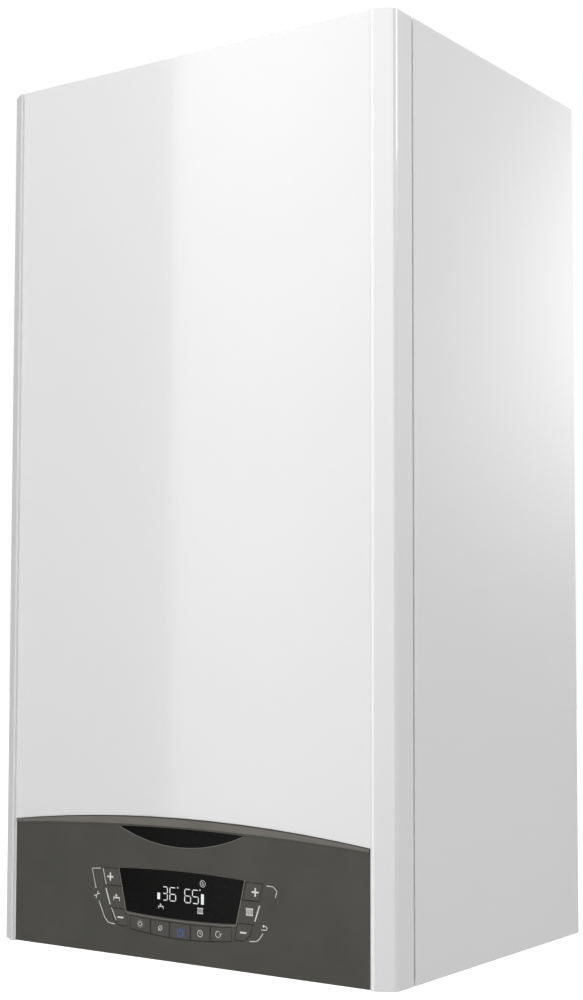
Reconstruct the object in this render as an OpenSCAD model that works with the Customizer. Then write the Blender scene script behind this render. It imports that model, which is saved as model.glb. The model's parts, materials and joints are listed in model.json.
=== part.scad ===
// Wall-hung condensing boiler with a sealed combustion chamber.
// X runs to the viewer's right, Y into the wall, Z up.
// The origin is on the wall plane, at mid width, at the foot of the casing.

/* [Casing] */
// Overall width of the casing
casing_w = 400; // [396:2:440]
// Overall height of the casing
casing_h = 745; // [735:5:800]
// Depth from the wall to the flat front sheet
casing_d = 317; // [315:1:340]
// Thickness of the painted steel sheet
sheet_t = 1; // [0.8:0.1:1.2]
// Radius of the rounded ridge down each side of the front
bead_r = 2; // [1.5:0.1:2.5]
// Width of the slanted facet outside each ridge
facet_w = 16; // [12:1:18]
// How far the facet's outer corner lies behind the front sheet
facet_back = 5.4; // [4:0.2:7]
// How far the cover's side leans in towards its front corner
side_lean = 1; // [0.5:0.1:1.5]
// Depth of the cover's side wall behind the front sheet
cover_side = 32; // [30:1:36]
// Width of the shadow gap between cover and side panel
seam_gap = 1.5; // [1:0.1:2]
// Width of the folded lips along the seam and the edges of the panels
lip_w = 10; // [8:0.5:11]
// Clearance between pieces that lie against each other
gap = 0.3; // [0.2:0.05:0.4]
// Height of the two tongues that take the cover's screws
tongue_z = 4.3; // [4.2:0.1:6]
// Distance of the cover's screws from the side of the casing
cover_screw_in = 8; // [7:0.5:9]
// Radius of the cover's screws
cover_screw_r = 2; // [1.5:0.25:2.5]
// Distance of the hanging pins from the middle
hang_pin_x = 120; // [100:5:140]
// Radius of the hanging pins
hang_pin_r = 3; // [2.5:0.25:3.5]
// Distance of the hanging pins below the top
hang_pin_drop = 10; // [9:0.5:12]

/* [Frame] */
// Thickness of the rear frame's plate
frame_t = 1.5; // [1.2:0.1:2]
// Depth of the rear frame's side flanges
frame_flange = 25; // [20:1:30]
// Distance between the two hanging slots
slot_spacing = 300; // [260:10:320]
// Half the width of a hanging slot
slot_r = 5; // [4:0.5:6]
// Length of a hanging slot from end to end
slot_len = 22; // [18:1:30]
// Height of the hanging slots
slot_z = 705; // [680:5:715]
// Distance between the two lower fixing holes
low_hole_spacing = 240; // [200:10:260]
// Radius of a lower fixing hole
low_hole_r = 4.5; // [3.5:0.5:5.5]
// Height of the lower fixing holes
low_hole_z = 60; // [50:5:70]
// Radius of the frame's screws
frame_screw_r = 2; // [1.5:0.25:2.5]
// Depth of the bottom rail's plate from the wall
rail_d = 143; // [136:1:145]
// Thickness of the bottom rail's side arms
arm_t = 2; // [1.5:0.25:2.5]
// Height of the bottom rail's side arms
arm_h = 30; // [26:1:40]

/* [Control panel] */
// Height of the arch at mid width
arch_apex = 115.8; // [114:0.2:118]
// Radius of the arch over the control panel
arch_r = 1480; // [1400:10:1600]
// Gap round the control panel's face
fascia_gap = 0.4; // [0.3:0.05:0.6]
// Thickness of the control panel's face
fascia_t = 2.5; // [2:0.1:3]
// Depth of the rim behind the face
fascia_rim = 9.5; // [9.5:0.1:11]
// Thickness of the rim and of the tray's walls
shell_t = 2; // [1.5:0.1:2.5]
// Width of the raised band under the arch at mid width
band_w = 8; // [6:0.5:9]
// Radius of the band's lower edge
band_r = 2700; // [2400:50:3000]
// How far the band stands proud
band_rise = 0.8; // [0.5:0.1:1.2]
// Height of the hinge line
hinge_z = 15; // [14:0.5:18]
// Distance of the hinge line behind the front sheet
hinge_back = 42; // [40:1:46]
// Radius of the hinge pins
hinge_r = 3; // [2.5:0.25:3.5]
// Radial clearance of a pin or shaft that turns
run_gap = 0.05; // [0.03:0.01:0.08]
// Gap from the casing's side to the tray
tray_side = 24; // [22:1:28]
// Height of the tray's top edge
tray_top = 98; // [92:1:99]
// Height of the tray's floor
tray_foot = 8; // [6:0.5:9]
// Depth of the tray's back wall behind the front sheet
tray_back = 77; // [70:1:78]

/* [Display and keys] */
// Half the width of the display window at its top
window_top_half = 64; // [60:0.5:66]
// Half the width of the display window at its foot
window_foot_half = 55.8; // [52:0.5:58]
// Height of the window's upper corners
window_top = 71.1; // [69:0.1:73]
// Height of the window's lower corners
window_foot = 37; // [36:0.1:40]
// Rise of the window's upper edge at mid width
window_rise = 1.9; // [1:0.1:3]
// Sag of the window's lower edge at mid width
window_sag = 1.8; // [1:0.1:3]
// Thickness of the window
window_t = 2.4; // [2:0.1:3]
// Clearance round a key
key_gap = 0.35; // [0.3:0.05:0.4]
// Width of the bridge between keys
key_bridge = 1.1; // [1:0.1:1.6]
// Thickness of a key's cap
cap_t = 4; // [3:0.25:4.5]
// Travel of a key
key_travel = 0.8; // [0.6:0.1:0.9]
// Radius of a key's stem
stem_r = 2; // [1.5:0.1:2.5]
// Height of the lower edge of the plus keys
plus_foot = 56.5; // [55:0.5:58]
// Height of the upper edge of the plus keys
plus_top = 70.2; // [68:0.2:72]
// Height of the lower edge of the minus keys
minus_foot = 24.6; // [24:0.2:26]
// Height of the upper edge of the minus keys
minus_top = 37.6; // [36:0.2:39]
// Half the width of the row of five lower keys
row_half = 52.5; // [50:0.5:54]
// Upper edge of the lower keys at mid width
row_top = 31.6; // [30:0.2:32.4]
// Lower edge of the lower keys at mid width
row_foot = 19.6; // [18:0.2:21]
// Thickness of the display board
board_t = 1.6; // [1.2:0.2:2]
// Height of the badge plate's lowest point
badge_foot = 92; // [90:0.5:94]
// Height of the badge plate's top edge at mid width
badge_top = 107; // [106:0.1:107.2]
// Radius of the badge plate's lower edge
badge_r = 158; // [150:1:170]
// Thickness of the badge plate
badge_t = 1.2; // [1:0.1:1.5]

/* [Combustion chamber] */
// Gap between the chamber and the side panels
chamber_side = 18; // [17.5:0.1:18.5]
// Height of the chamber's floor
chamber_floor = 240; // [238:1:244]
// Distance of the chamber's roof below the casing's top
chamber_drop = 21; // [20:0.5:24]
// Distance of the chamber's open front behind the front sheet
chamber_front = 37; // [36:0.5:38]
// Distance of the chamber's back wall from the wall plane
chamber_back = 94; // [92:0.5:96]
// Thickness of the chamber's foam seal
seal_t = 6.4; // [6:0.1:6.6]
// Width of the foam seal
seal_w = 8; // [6:0.5:8]

/* [Heat exchanger] */
// Distance of the exchanger's axis left of mid width
hx_left = 62; // [62:1:64]
// Height of the exchanger's axis above the chamber's floor
hx_up = 210; // [205:1:240]
// Outer radius of the exchanger's shell
hx_r = 106; // [102:1:107]
// Wall of the exchanger's shell
hx_wall = 3; // [2:0.5:4]
// Front face of the shell's flange, behind the front sheet
hx_front = 61; // [60:0.5:62]
// Length of the exchanger with its flange
hx_len = 146; // [140:1:147]
// Thickness of the shell's flange
hx_flange_t = 4; // [3:0.5:5]
// Radius of the coil at the centre of its tube
coil_r = 72; // [68:1:76]
// Radius of the coil's tube
coil_tube_r = 9; // [8:0.5:9.5]
// Number of turns in the coil
coil_turns = 6; // [4:1:6]
// Distance between turns of the coil
coil_pitch = 20; // [19:0.5:21]
// Outer radius of the burner
burner_r = 35; // [30:1:38]
// Length of the burner
burner_len = 100; // [80:5:110]
// Thickness of the burner door
door_t = 6; // [5:0.5:7]
// Radius of the door's mixture inlet
door_inlet_r = 18; // [15:1:19]

/* [Fan and mixture] */
// Distance of the fan's axis right of mid width
fan_x = 122; // [121:0.5:124]
// Outer radius of the fan housing
fan_r = 52; // [50:0.5:53]
// Depth of the fan housing
fan_len = 44; // [40:1:46]
// Front face of the fan housing, behind the front sheet
fan_front = 62; // [62:0.5:63]
// Wall of the fan housing and the mixture duct
fan_wall = 2; // [1.5:0.25:2.5]
// Radius of the fan's inlet
fan_inlet_r = 20; // [16:1:22]
// Radius of the fan's impeller
impeller_r = 42; // [38:1:44]
// Number of impeller blades
blades = 12; // [8:1:16]
// Radius of the fan's shaft
fan_shaft_r = 4; // [3:0.5:5]
// Radius of the fan's motor
fan_motor_r = 30; // [26:1:34]
// Length of the fan's motor
fan_motor_len = 46; // [40:1:52]
// Height of the mixture duct
duct_h = 40; // [36:1:42]
// Depth of the mixture duct in front of the door
duct_d = 20; // [18:0.5:20.5]
// Outer radius of the gas and air mixer
mixer_r = 26; // [24:0.5:28]
// Depth of the mixer
mixer_len = 28; // [26:0.5:28]
// Outer radius of the air silencer
silencer_r = 12; // [10:0.5:12.5]
// Length of the air silencer
silencer_len = 160; // [120:10:200]

/* [Flue] */
// Distance of the flue's axis from the wall plane
flue_y = 165; // [160:1:170]
// Bore radius of the flue gas socket
flue_bore_r = 30.15; // [30:0.05:30.3]
// Outer radius of the flue gas socket
flue_socket_r = 32; // [31.5:0.1:32.5]
// Bore radius of the air socket
air_bore_r = 50.2; // [49:0.1:51]
// Outer radius of the air socket
air_socket_r = 52.2; // [51.5:0.1:53]
// Height of the collar above the casing
collar_h = 25; // [20:1:35]
// Half the width of the collar's flange
collar_half = 65; // [60:1:70]
// Thickness of the collar's flange
collar_t = 2; // [1.5:0.25:2.5]
// Outer radius of the flue pipe inside the chamber
flue_pipe_r = 30; // [29:0.1:30]
// Wall of the flue pipe
flue_pipe_wall = 2; // [1.5:0.1:2.2]

/* [Water and gas] */
// Spacing of the five pipe connections
tail_pitch = 67; // [66:0.5:68]
// Distance of the pipe connections from the wall
tail_y = 110; // [108:1:112]
// How far the pipe connections reach below the casing
tail_drop = 18; // [14:1:18]
// Length of the thread at the end of each connection
thread_len = 14; // [12:1:14]
// Outer radius of a three-quarter inch pipe thread
thread_34_r = 13.22; // [13.1:0.01:13.3]
// Outer radius of a half inch pipe thread
thread_12_r = 10.48; // [10.4:0.01:10.5]
// Radius of the hole inside a connection
tail_bore_r = 7; // [6:0.5:8]
// Half the width of each water group
group_half = 26; // [24:1:26]
// Height of the flow group's top
flow_group_top = 150; // [146:1:155]
// Height of the return group's top
return_group_top = 70; // [66:1:72]
// Height of the underside of both groups
group_foot = 20; // [16:1:22]
// Front face of the groups, from the wall
group_front = 140; // [138:1:142]
// Rear face of the groups, from the wall
group_back = 90; // [88:1:92]
// Radius of the larger water pipes
pipe_r = 9; // [8:0.5:9]
// Wall of the pipes
pipe_wall = 1; // [0.8:0.1:1.5]
// Bend radius of the pipes at their middle line
bend_r = 20; // [18:1:22]
// Height of the pump's axis
pump_z = 100; // [98:1:104]
// Distance of the pump's axis right of mid width
pump_x = 130; // [128:1:132]
// Outer radius of the pump's volute
volute_r = 38; // [36:0.5:39]
// Radius of the pump's impeller
rotor_r = 27; // [24:1:29]
// Radius of the pump's shaft
rotor_shaft_r = 4; // [3:0.5:5]
// Outer radius of the pump's motor
motor_r = 41; // [38:1:42]
// Gap from the tray to the pump's motor
motor_clear = 25.7; // [22:0.1:36]
// Width of the plate heat exchanger
plate_hx_w = 180; // [160:2:184]
// Height of the underside of the plate heat exchanger
plate_hx_foot = 75; // [70:1:80]
// Height of the plate heat exchanger
plate_hx_h = 62; // [56:1:66]
// Radius of the plate heat exchanger's ports
port_r = 8; // [7:0.5:9]
// Radius of the diverter's motor
diverter_motor_r = 22; // [20:1:23]
// Length of the diverter's motor
diverter_motor_len = 45; // [40:1:50]
// Height of the diverter's axis
diverter_z = 95; // [92:1:98]
// Radius of the diverter's spindle
spindle_r = 3; // [2.5:0.25:3.5]
// Travel of the diverter
diverter_travel = 6; // [4:0.5:7]
// Height of the safety valve's axis
safety_z = 42; // [40:1:44]
// Radius of the safety valve's knob
safety_knob_r = 14; // [12:0.5:15]
// Height of the filling tap's axis
fill_z = 38; // [36:1:40]
// Length of the filling tap's handle
fill_handle = 26; // [20:1:28]
// Radius of the condensate trap
trap_r = 26; // [24:1:27]
// Distance of the condensate trap left of mid width
trap_x = 78; // [76:1:80]
// Distance of the condensate trap from the wall
trap_y = 195; // [193:1:198]
// Radius of the condensate outlet
drain_r = 10.5; // [10:0.25:11]
// Radius of the expansion vessel
vessel_r = 168; // [160:1:170]
// Depth of the expansion vessel
vessel_d = 82; // [76:1:84]
// Wall of the expansion vessel
vessel_wall = 1.5; // [1.2:0.1:2]
// Height of the expansion vessel's axis
vessel_z = 480; // [470:1:500]

/* [Hidden] */
$fn = 48;

// Colours
white_paint = "whitesmoke";
dark_shell = "dimgray";
black_gloss = "black";
steel = "silver";
brass = "goldenrod";
copper = "peru";
plastic_grey = "slategray";

// Casing lines
half_w = casing_w / 2;
front_y = -casing_d;
seam_y = front_y + cover_side;
panel_front_y = seam_y + seam_gap;
corner_x = half_w - side_lean;
corner_y = front_y + facet_back;
bead_x = corner_x - facet_w;
flat_half = bead_x - bead_r;
cut = 1;
ridge_y = front_y - bead_r;
inner_x = half_w - sheet_t;
panel_foot_lift = 12;
hook_half = 10;
hook_back = 24;
hook_h = 16;
tab_drop = 1.3;
tab_in = 1.5;
cover_screw_x = half_w - cover_screw_in;
cover_screw_y = seam_y - 13;
tab_back = 1.8;
pin_nose = 6;
facet_fold = 0.6;
tongue_in = 1;
screw_head_r = 4;
screw_head_h = 2.2;
small_head_r = 3.5;
frame_screw_edge = 74.5;
screw_tip = 2;
leg_h = 60;
leg_back = 4;
nut_gap = 0.5;

// Frame lines
frame_y = -frame_t;
chamber_half = half_w - chamber_side;
flange_x = chamber_half + gap;
frame_flange_foot = 40;
arm_in = 16;
arm_back_gap = 1.5;
panel_back_y = frame_y - gap;
arm_x = half_w - arm_in;
arm_front_y = seam_y;
arm_back_y = frame_y - frame_flange - arm_back_gap;
top_flange_h = 14;

// Control panel lines
arch_z = arch_apex - arch_r;
face_back_y = front_y + fascia_t;
rim_back_y = face_back_y + fascia_rim;
tray_half = half_w - tray_side;
tray_front_y = rim_back_y + gap;
tray_back_y = front_y + tray_back;
hinge_y = front_y + hinge_back;
fascia_foot = 0.6;
boss_r = 4;
boss_in = 6;
boss_up = 7;
small_boss_r = 3.5;
tray_lip = 10;
pin_in = 3;
pin_head_r = 4.5;
pin_head_t = 1;
main_board_half = 150;
main_board_in = 12;
main_standoff = 5;
main_boss_in = [10, 6];
main_face_y = front_y + tray_back - shell_t - gap - main_standoff;
transformer = [40, 32, 34];
transformer_at = [-130, 8];
relay = [16, 18, 24];
relay_at = [-70, 6];
relay_pitch = 22;
relays = 4;
capacitor_r = 8;
capacitor_len = 26;
capacitor_at = [40, 20];
capacitor_pitch = 20;
capacitors = 3;
terminal = [42, 16, 14];
terminal_at = [100, 6];

// Display and key lines
window_top_r = (window_top_half * window_top_half + window_rise * window_rise) / (2 * window_rise);
window_foot_r = (window_foot_half * window_foot_half + window_sag * window_sag) / (2 * window_sag);
window_gap = 0.2;
window_proud = 0.2;
badge_proud = 0.3;
window_bridge = 2;
outline_in = 1;
module_in = [4, 1];
module_gap = 0.1;
minus_corner = 4.2;
outline_foot = 29.3;
outline_foot_half = 70.7;
outline_slope = 0.305;
row_top_r = 677;
row_foot_r = 359;
row_stem_up = 1;
row_edges = [-row_half, -row_half * 0.585, -row_half * 0.202, row_half * 0.202, row_half * 0.585, row_half];
board_half = 88;
board_foot = 14;
board_top = 78;
board_front_y = front_y + 9.7;
board_boss = [84.5, 17, 74.5];
switch_r = 3;
switch_h = 1.2;
stem_end_y = board_front_y - switch_h - key_travel - 0.2;

// Chamber lines
chamber_top = casing_h - chamber_drop;
chamber_y = front_y + chamber_front;
chamber_back_y = -chamber_back;
chamber_lip = 10;
hole_gap = 1;
lid_over = 4;
lid_t = sheet_t;
lid_rim_gap = 1;
clip_x = 90;
clip_w = 20;
clip_reach = 16;
lid_inner_y = chamber_y - gap - seal_t;
lid_front_y = lid_inner_y - gap - lid_t;

// Exchanger lines
hx_x = -hx_left;
hx_z = chamber_floor + hx_up;
hx_y = front_y + hx_front;
hx_back_y = hx_y + hx_len;
hx_flange_r = hx_r + 2;
stub_root = 12;
flue_stub_rise = 19;
flue_stub_top = hx_z + hx_r + flue_stub_rise;
stub_drop = 14;
stub_z = hx_z - hx_r - stub_drop;
stub_y = hx_y + 71;
drain_stub_r = 10;
drain_wall = 2;
drain_y = hx_y + 106;
coil_first = 18;
coil_gap = 0.4;
header_r = coil_tube_r - 0.5;
foot_ring_r = 80;
foot_r = 6;
mouth_step = 12;
door_y = hx_y - gap - door_t;
burner_y = hx_y + 0.4;
burner_wall = 2;
plug_len = 6.5;
plug_back = 1;
electrode_at = [-50, 14];
electrode_r = 3;
electrode_collar_r = 5;
electrode_collar_t = 5;
electrode_nose = 12;
electrode_reach = 28;
spark_r = 1.2;
spark_len = 24;

// Fan lines
fan_z = hx_z - fan_r + duct_h / 2;
fan_y = front_y + fan_front;
outlet_w = 54;
duct_x = fan_x - outlet_w - gap;
duct_leg = 19;
duct_back_y = door_y - gap;
duct_front_y = duct_back_y - duct_d;
mixer_y = fan_y - gap - mixer_len;
mixer_mid_y = mixer_y + mixer_len / 2;
gas_port_r = 6;
gas_port_drop = 8;
silencer_wall = 2;
silencer_neck = 8;
mixer_wall = 3;
impeller_gap = 7;
shroud_t = 1.5;
hub_r = fan_shaft_r + 4;
blade_t = 2;
blade_in = 6;
motor_cap = [8, 7];
motor_end = 4;
shaft_gap = 2;
duct_side = 5;
duct_hole_r = duct_h / 2 - fan_wall - 2;

// Flue lines
collar_top = casing_h + collar_h;
collar_seat = casing_h + gap;
socket_foot = chamber_top - 24;
web_t = 3;
web_over = 5;
flue_rise = 24;
ring_wall = 2.3;
ring_step = 4;
upper_ring = [8, 24];
lower_ring = [12, 16];

// Water lines
flow_x = -2 * tail_pitch;
return_x = 2 * tail_pitch;
tail_foot = -tail_drop;
arm_z = 45;
riser_x = pump_x + 20;
riser_y = -group_front + 20;
riser_top = pump_z + volute_r + 22;
volute_front_y = -group_front - 8;
volute_back_y = -group_back - 5;
rotor_in = 4;
rotor_y = volute_front_y + rotor_in;
rotor_len = 12;
rotor_gap = 3;
rotor_plate = 2;
rotor_blades = 6;
shaft_in = 16;
motor_step = [6, 8];
motor_box = [24, 12, 16, 20];
motor_back_y = volute_front_y - gap;
motor_y = tray_back_y + motor_clear;
motor_len = motor_back_y - motor_y;
port_in = port_r + 6;
port_heights = [plate_hx_foot + port_in, plate_hx_foot + plate_hx_h - port_in];
plates = 10;
plate_step = 1.2;
plate_hx_in = 5;
valve_box_half = 36;
valve_box_foot = 150;
valve_box_top = 215;
valve_box_front = 215;
valve_box_back = 145;
valve_neck_r = 14;
valve_neck_len = 12;
coil_can_r = 11;
coil_can_len = 20;
coil_can_x = [-14, 16];
coil_can_up = 34;
coil_can_out = 16;
nut_h = 5;
nut_over = 5;
arm_r = 9;
neck_in = 0.5;
valve_mid_y = -(valve_box_front + valve_box_back) / 2;
trap_top = 198;
trap_foot = 70;
trap_lug_z = 128;
trap_lug_h = 12;
trap_wall = 3;
trap_rim = [3, 14];
trap_neck = 10;
trap_lug_reach = [8, 6, 10];
vessel_pipe_r = 6;
vessel_pipe_x = 60;
vessel_pipe_bend = 15;
vessel_pipe_in = 5;
vessel_pipe_up = 12;
vessel_seam = [3, 6];
vessel_edge = 5;
valve_body_len = 30;
valve_body_r = 11;
valve_drain_r = 8;
valve_drain_bore = 5;
valve_drain_in = 15;
tap_len = 25;
tap_r = 8;
tap_x = return_x - group_half + 10;
spindle_in = 12;
spindle_seat = 16;
spindle_disc_r = 8;
spindle_disc_t = 6;
diverter_bore_r = 9;
diverter_bore_len = 28;
knob_len = 14;
knob_bar = [2, 3, 2.5];
handle_hub = [7, 9];
handle_bar = [4, 8, 2];
motor_bottom = 3;
plug_box = [12, 6, 8, 8];
hose_bend = 16;
hose_drop = 28;
cross_up = 46;
port_wall = 2;
gas_feed_z = chamber_floor + 22;
gas_feed_bend = 15;
riser_turn_z = chamber_floor - 40;

// Small shared shapes

// A box from its low corner to its high corner
module box(low, high) {
    translate(low) cube([for (i = [0:2]) high[i] - low[i]]);
}

// A round bar along Y
module bar_y(x, y, z, r, len) {
    translate([x, y, z]) rotate([-90, 0, 0]) cylinder(r = r, h = len);
}

// A round bar along X
module bar_x(x, y, z, r, len) {
    translate([x, y, z]) rotate([0, 90, 0]) cylinder(r = r, h = len);
}

// A round bar along Z
module bar_z(x, y, z, r, len) {
    translate([x, y, z]) cylinder(r = r, h = len);
}

// An upright plate whose outline is drawn in X and Z
module upright(y0, y1) {
    translate([0, y1, 0]) rotate([90, 0, 0]) linear_extrude(y1 - y0) children();
}

// The same shape on the left and on the right
module both_sides() {
    children();
    mirror([1, 0, 0]) children();
}

// Shorter stretches are left out
least_straight = 0.01;

function unit(v) = v / norm(v);
function turn_angle(a, b, c) = acos(max(-1, min(1, unit(b - a) * unit(c - b))));
function trim_len(a, b, c, bend) = bend * tan(turn_angle(a, b, c) / 2);

// The section of a pipe
module pipe_section(r, wall) {
    difference() {
        circle(r = r);
        circle(r = r - wall);
    }
}

// A straight stretch of pipe between two points
module straight(a, b, r, wall) {
    d = b - a;
    len = norm(d);
    translate(a) rotate([0, acos(d[2] / len), atan2(d[1], d[0])])
        linear_extrude(len) pipe_section(r, wall);
}

// One round bend of a pipe at corner b
module elbow(a, b, c, r, wall, bend) {
    u = unit(b - a);
    w = unit(c - b);
    side = unit(w - u * (u * w));
    start = b - u * trim_len(a, b, c, bend);
    mid = start + side * bend;
    up = cross(-side, u);
    multmatrix([
        [-side[0], u[0], up[0], mid[0]],
        [-side[1], u[1], up[1], mid[1]],
        [-side[2], u[2], up[2], mid[2]],
        [0, 0, 0, 1]
    ]) rotate_extrude(angle = turn_angle(a, b, c)) translate([bend, 0]) pipe_section(r, wall);
}

// A hollow pipe along a list of points, with a round bend at each corner
module pipe(p, r, wall, bend) {
    n = len(p);
    for (i = [0:n - 2]) {
        d = unit(p[i + 1] - p[i]);
        from = i == 0 ? p[0] : p[i] + d * trim_len(p[i - 1], p[i], p[i + 1], bend);
        to = i == n - 2 ? p[n - 1] : p[i + 1] - d * trim_len(p[i], p[i + 1], p[i + 2], bend);
        if (norm(to - from) > least_straight) straight(from, to, r, wall);
    }
    for (i = [1:n - 2]) elbow(p[i - 1], p[i], p[i + 1], r, wall, bend);
}

// Casing

// Outer line of the cover's section from seam to seam
module cover_outline() {
    polygon([
        [half_w, seam_y], [corner_x, corner_y], [bead_x, ridge_y],
        [bead_x - bead_r / 2, front_y], [-bead_x + bead_r / 2, front_y],
        [-bead_x, ridge_y], [-corner_x, corner_y], [-half_w, seam_y]
    ]);
}

// Section of the cover's folded sheet with its two ridges
module cover_section() {
    difference() {
        cover_outline();
        polygon([
            [half_w - sheet_t, seam_y + cut], [corner_x - sheet_t, corner_y + sheet_t * facet_fold],
            [bead_x, front_y + sheet_t], [-bead_x, front_y + sheet_t],
            [-corner_x + sheet_t, corner_y + sheet_t * facet_fold], [-half_w + sheet_t, seam_y + cut]
        ]);
    }
    for (side = [-1, 1]) translate([side * bead_x, front_y]) circle(r = bead_r);
}

// The flat area under the arch
module under_arch(inset, foot) {
    intersection() {
        translate([0, arch_z]) circle(r = arch_r - inset, $fn = 720);
        translate([-flat_half + inset, foot]) square([2 * (flat_half - inset), arch_apex * 2]);
    }
}

module front_cover() {
    color(white_paint) {
        difference() {
            union() {
                linear_extrude(casing_h) cover_section();
                translate([0, 0, casing_h - sheet_t]) linear_extrude(sheet_t) cover_outline();
                both_sides() {
                    box([inner_x - lip_w, seam_y - sheet_t, panel_foot_lift],
                        [inner_x + sheet_t / 2, seam_y, casing_h]);
                    cover_tab();
                    cover_hook();
                }
            }
            upright(front_y - cut, front_y + sheet_t + cut) under_arch(0, -cut);
        }
    }
}

// Small tab at the foot of the cover that takes a screw
module cover_tab() {
    difference() {
        translate([0, 0, tongue_z - tab_drop]) linear_extrude(sheet_t) intersection() {
            cover_outline();
            translate([bead_x + tab_in, front_y]) square([facet_w + tab_in, cover_side - tab_back]);
        }
        bar_z(cover_screw_x, cover_screw_y, tongue_z - tab_drop - cut, cover_screw_r + gap,
            sheet_t + 2 * cut);
    }
}

// Tab inside the cover's top that hangs on a pin
module cover_hook() {
    y = front_y + hook_back;
    difference() {
        box([hang_pin_x - hook_half, y, casing_h - hook_h],
            [hang_pin_x + hook_half, y + sheet_t, casing_h]);
        bar_y(hang_pin_x, y - cut, casing_h - hang_pin_drop, hang_pin_r + gap,
            sheet_t + 2 * cut);
    }
}

module cover_screws() {
    color(steel) both_sides() {
        bar_z(cover_screw_x, cover_screw_y, tongue_z - tab_drop - screw_head_h - gap / 2, screw_head_r,
            screw_head_h);
        bar_z(cover_screw_x, cover_screw_y, tongue_z - tab_drop - screw_head_h, cover_screw_r,
            screw_head_h + 3 * sheet_t + tab_drop);
    }
}

// Right side panel; the left one is its mirror image
module side_panel() {
    box([inner_x, panel_front_y, 0], [half_w, 0, casing_h]);
    box([inner_x - lip_w, panel_front_y, 0], [inner_x + sheet_t / 2, panel_front_y + sheet_t, casing_h]);
    box([inner_x - lip_w, panel_front_y, 0], [inner_x + sheet_t / 2, panel_back_y, sheet_t]);
    difference() {
        box([inner_x - lip_w, panel_back_y - sheet_t, 0], [inner_x + sheet_t / 2, panel_back_y, casing_h]);
        for (z = frame_screw_heights()) {
            bar_y(inner_x - lip_w / 2, panel_back_y - sheet_t - cut, z, frame_screw_r + run_gap,
                sheet_t + 2 * cut);
        }
    }
    difference() {
        box([inner_x - lip_w, cover_screw_y - 3 * cover_screw_r, tongue_z],
            [corner_x - sheet_t - tongue_in, panel_front_y + sheet_t, tongue_z + sheet_t]);
        bar_z(cover_screw_x, cover_screw_y, tongue_z - cut, cover_screw_r + gap,
            sheet_t + 2 * cut);
        box([cover_screw_x - cover_screw_r - gap, cover_screw_y - 4 * cover_screw_r, tongue_z - cut],
            [cover_screw_x + cover_screw_r + gap, cover_screw_y, tongue_z + sheet_t + cut]);
    }
}

// Heights of the screws in the rear frame and in the chamber's legs
function frame_screw_heights() = [frame_screw_edge, casing_h / 2, casing_h - frame_screw_edge];
function leg_screw_heights() = [chamber_floor + leg_h / 2, chamber_top - leg_h / 2];

module side_panel_right() {
    color(white_paint) side_panel();
}

module side_panel_left() {
    color(white_paint) mirror([1, 0, 0]) side_panel();
}

module top_panel() {
    plate_half = inner_x - gap;
    back = panel_back_y - sheet_t - gap;
    front = panel_front_y;
    pin_y = front_y + hook_back - pin_nose;
    color(white_paint) difference() {
        union() {
            box([-plate_half, front, casing_h - sheet_t], [plate_half, back, casing_h]);
            box([-inner_x + lip_w + gap, front, casing_h - top_flange_h],
                [inner_x - lip_w - gap, front + sheet_t, casing_h]);
            box([-inner_x + lip_w + gap, back - sheet_t, casing_h - top_flange_h],
                [inner_x - lip_w - gap, back, casing_h]);
            both_sides() bar_y(hang_pin_x, pin_y, casing_h - hang_pin_drop, hang_pin_r,
                front + sheet_t / 2 - pin_y);
        }
        both_sides() box([inner_x - lip_w - gap, front - cut, casing_h - 2 * sheet_t],
            [inner_x, front + sheet_t + gap, casing_h + cut]);
        bar_z(0, -flue_y, casing_h - 2 * sheet_t, air_socket_r + gap, 3 * sheet_t);
    }
}

module rear_frame() {
    frame_half = inner_x - gap;
    color(steel) difference() {
        union() {
            box([-frame_half, frame_y, 0], [frame_half, 0, casing_h]);
            both_sides() box([flange_x, frame_y - frame_flange, frame_flange_foot],
                [flange_x + frame_t, 0, casing_h - 2 * top_flange_h]);
        }
        for (side = [-1, 1]) {
            hanging_slot(side * slot_spacing / 2);
            bar_y(side * low_hole_spacing / 2, frame_y - cut, low_hole_z, low_hole_r, frame_t + 2 * cut);
            for (z = frame_screw_heights()) {
                bar_y(side * (inner_x - lip_w / 2), frame_y - cut, z, frame_screw_r + run_gap,
                    frame_t + 2 * cut);
            }
            for (z = leg_screw_heights()) {
                bar_x(side * (flange_x + frame_t / 2) - frame_t, frame_y - frame_flange / 2, z,
                    frame_screw_r + run_gap, 2 * frame_t);
            }
        }
    }
}

// A hanging slot made of two round ends and the straight between them
module hanging_slot(x) {
    reach = slot_len / 2 - slot_r;
    for (end = [-1, 1]) bar_y(x + end * reach, frame_y - cut, slot_z, slot_r, frame_t + 2 * cut);
    box([x - reach, frame_y - cut, slot_z - slot_r], [x + reach, cut, slot_z + slot_r]);
}

module frame_screws() {
    color(steel) both_sides() {
        for (z = frame_screw_heights()) {
            bar_y(inner_x - lip_w / 2, panel_back_y - sheet_t - screw_head_h, z, small_head_r,
                screw_head_h);
            bar_y(inner_x - lip_w / 2, panel_back_y - sheet_t - gap, z, frame_screw_r,
                sheet_t + 2 * gap + frame_t);
        }
        for (z = leg_screw_heights()) {
            bar_x(flange_x + frame_t, frame_y - frame_flange / 2, z, small_head_r, screw_head_h);
            bar_x(chamber_half - sheet_t - screw_tip, frame_y - frame_flange / 2, z, frame_screw_r,
                frame_t + sheet_t + screw_tip + 2 * gap);
        }
    }
}

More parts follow.
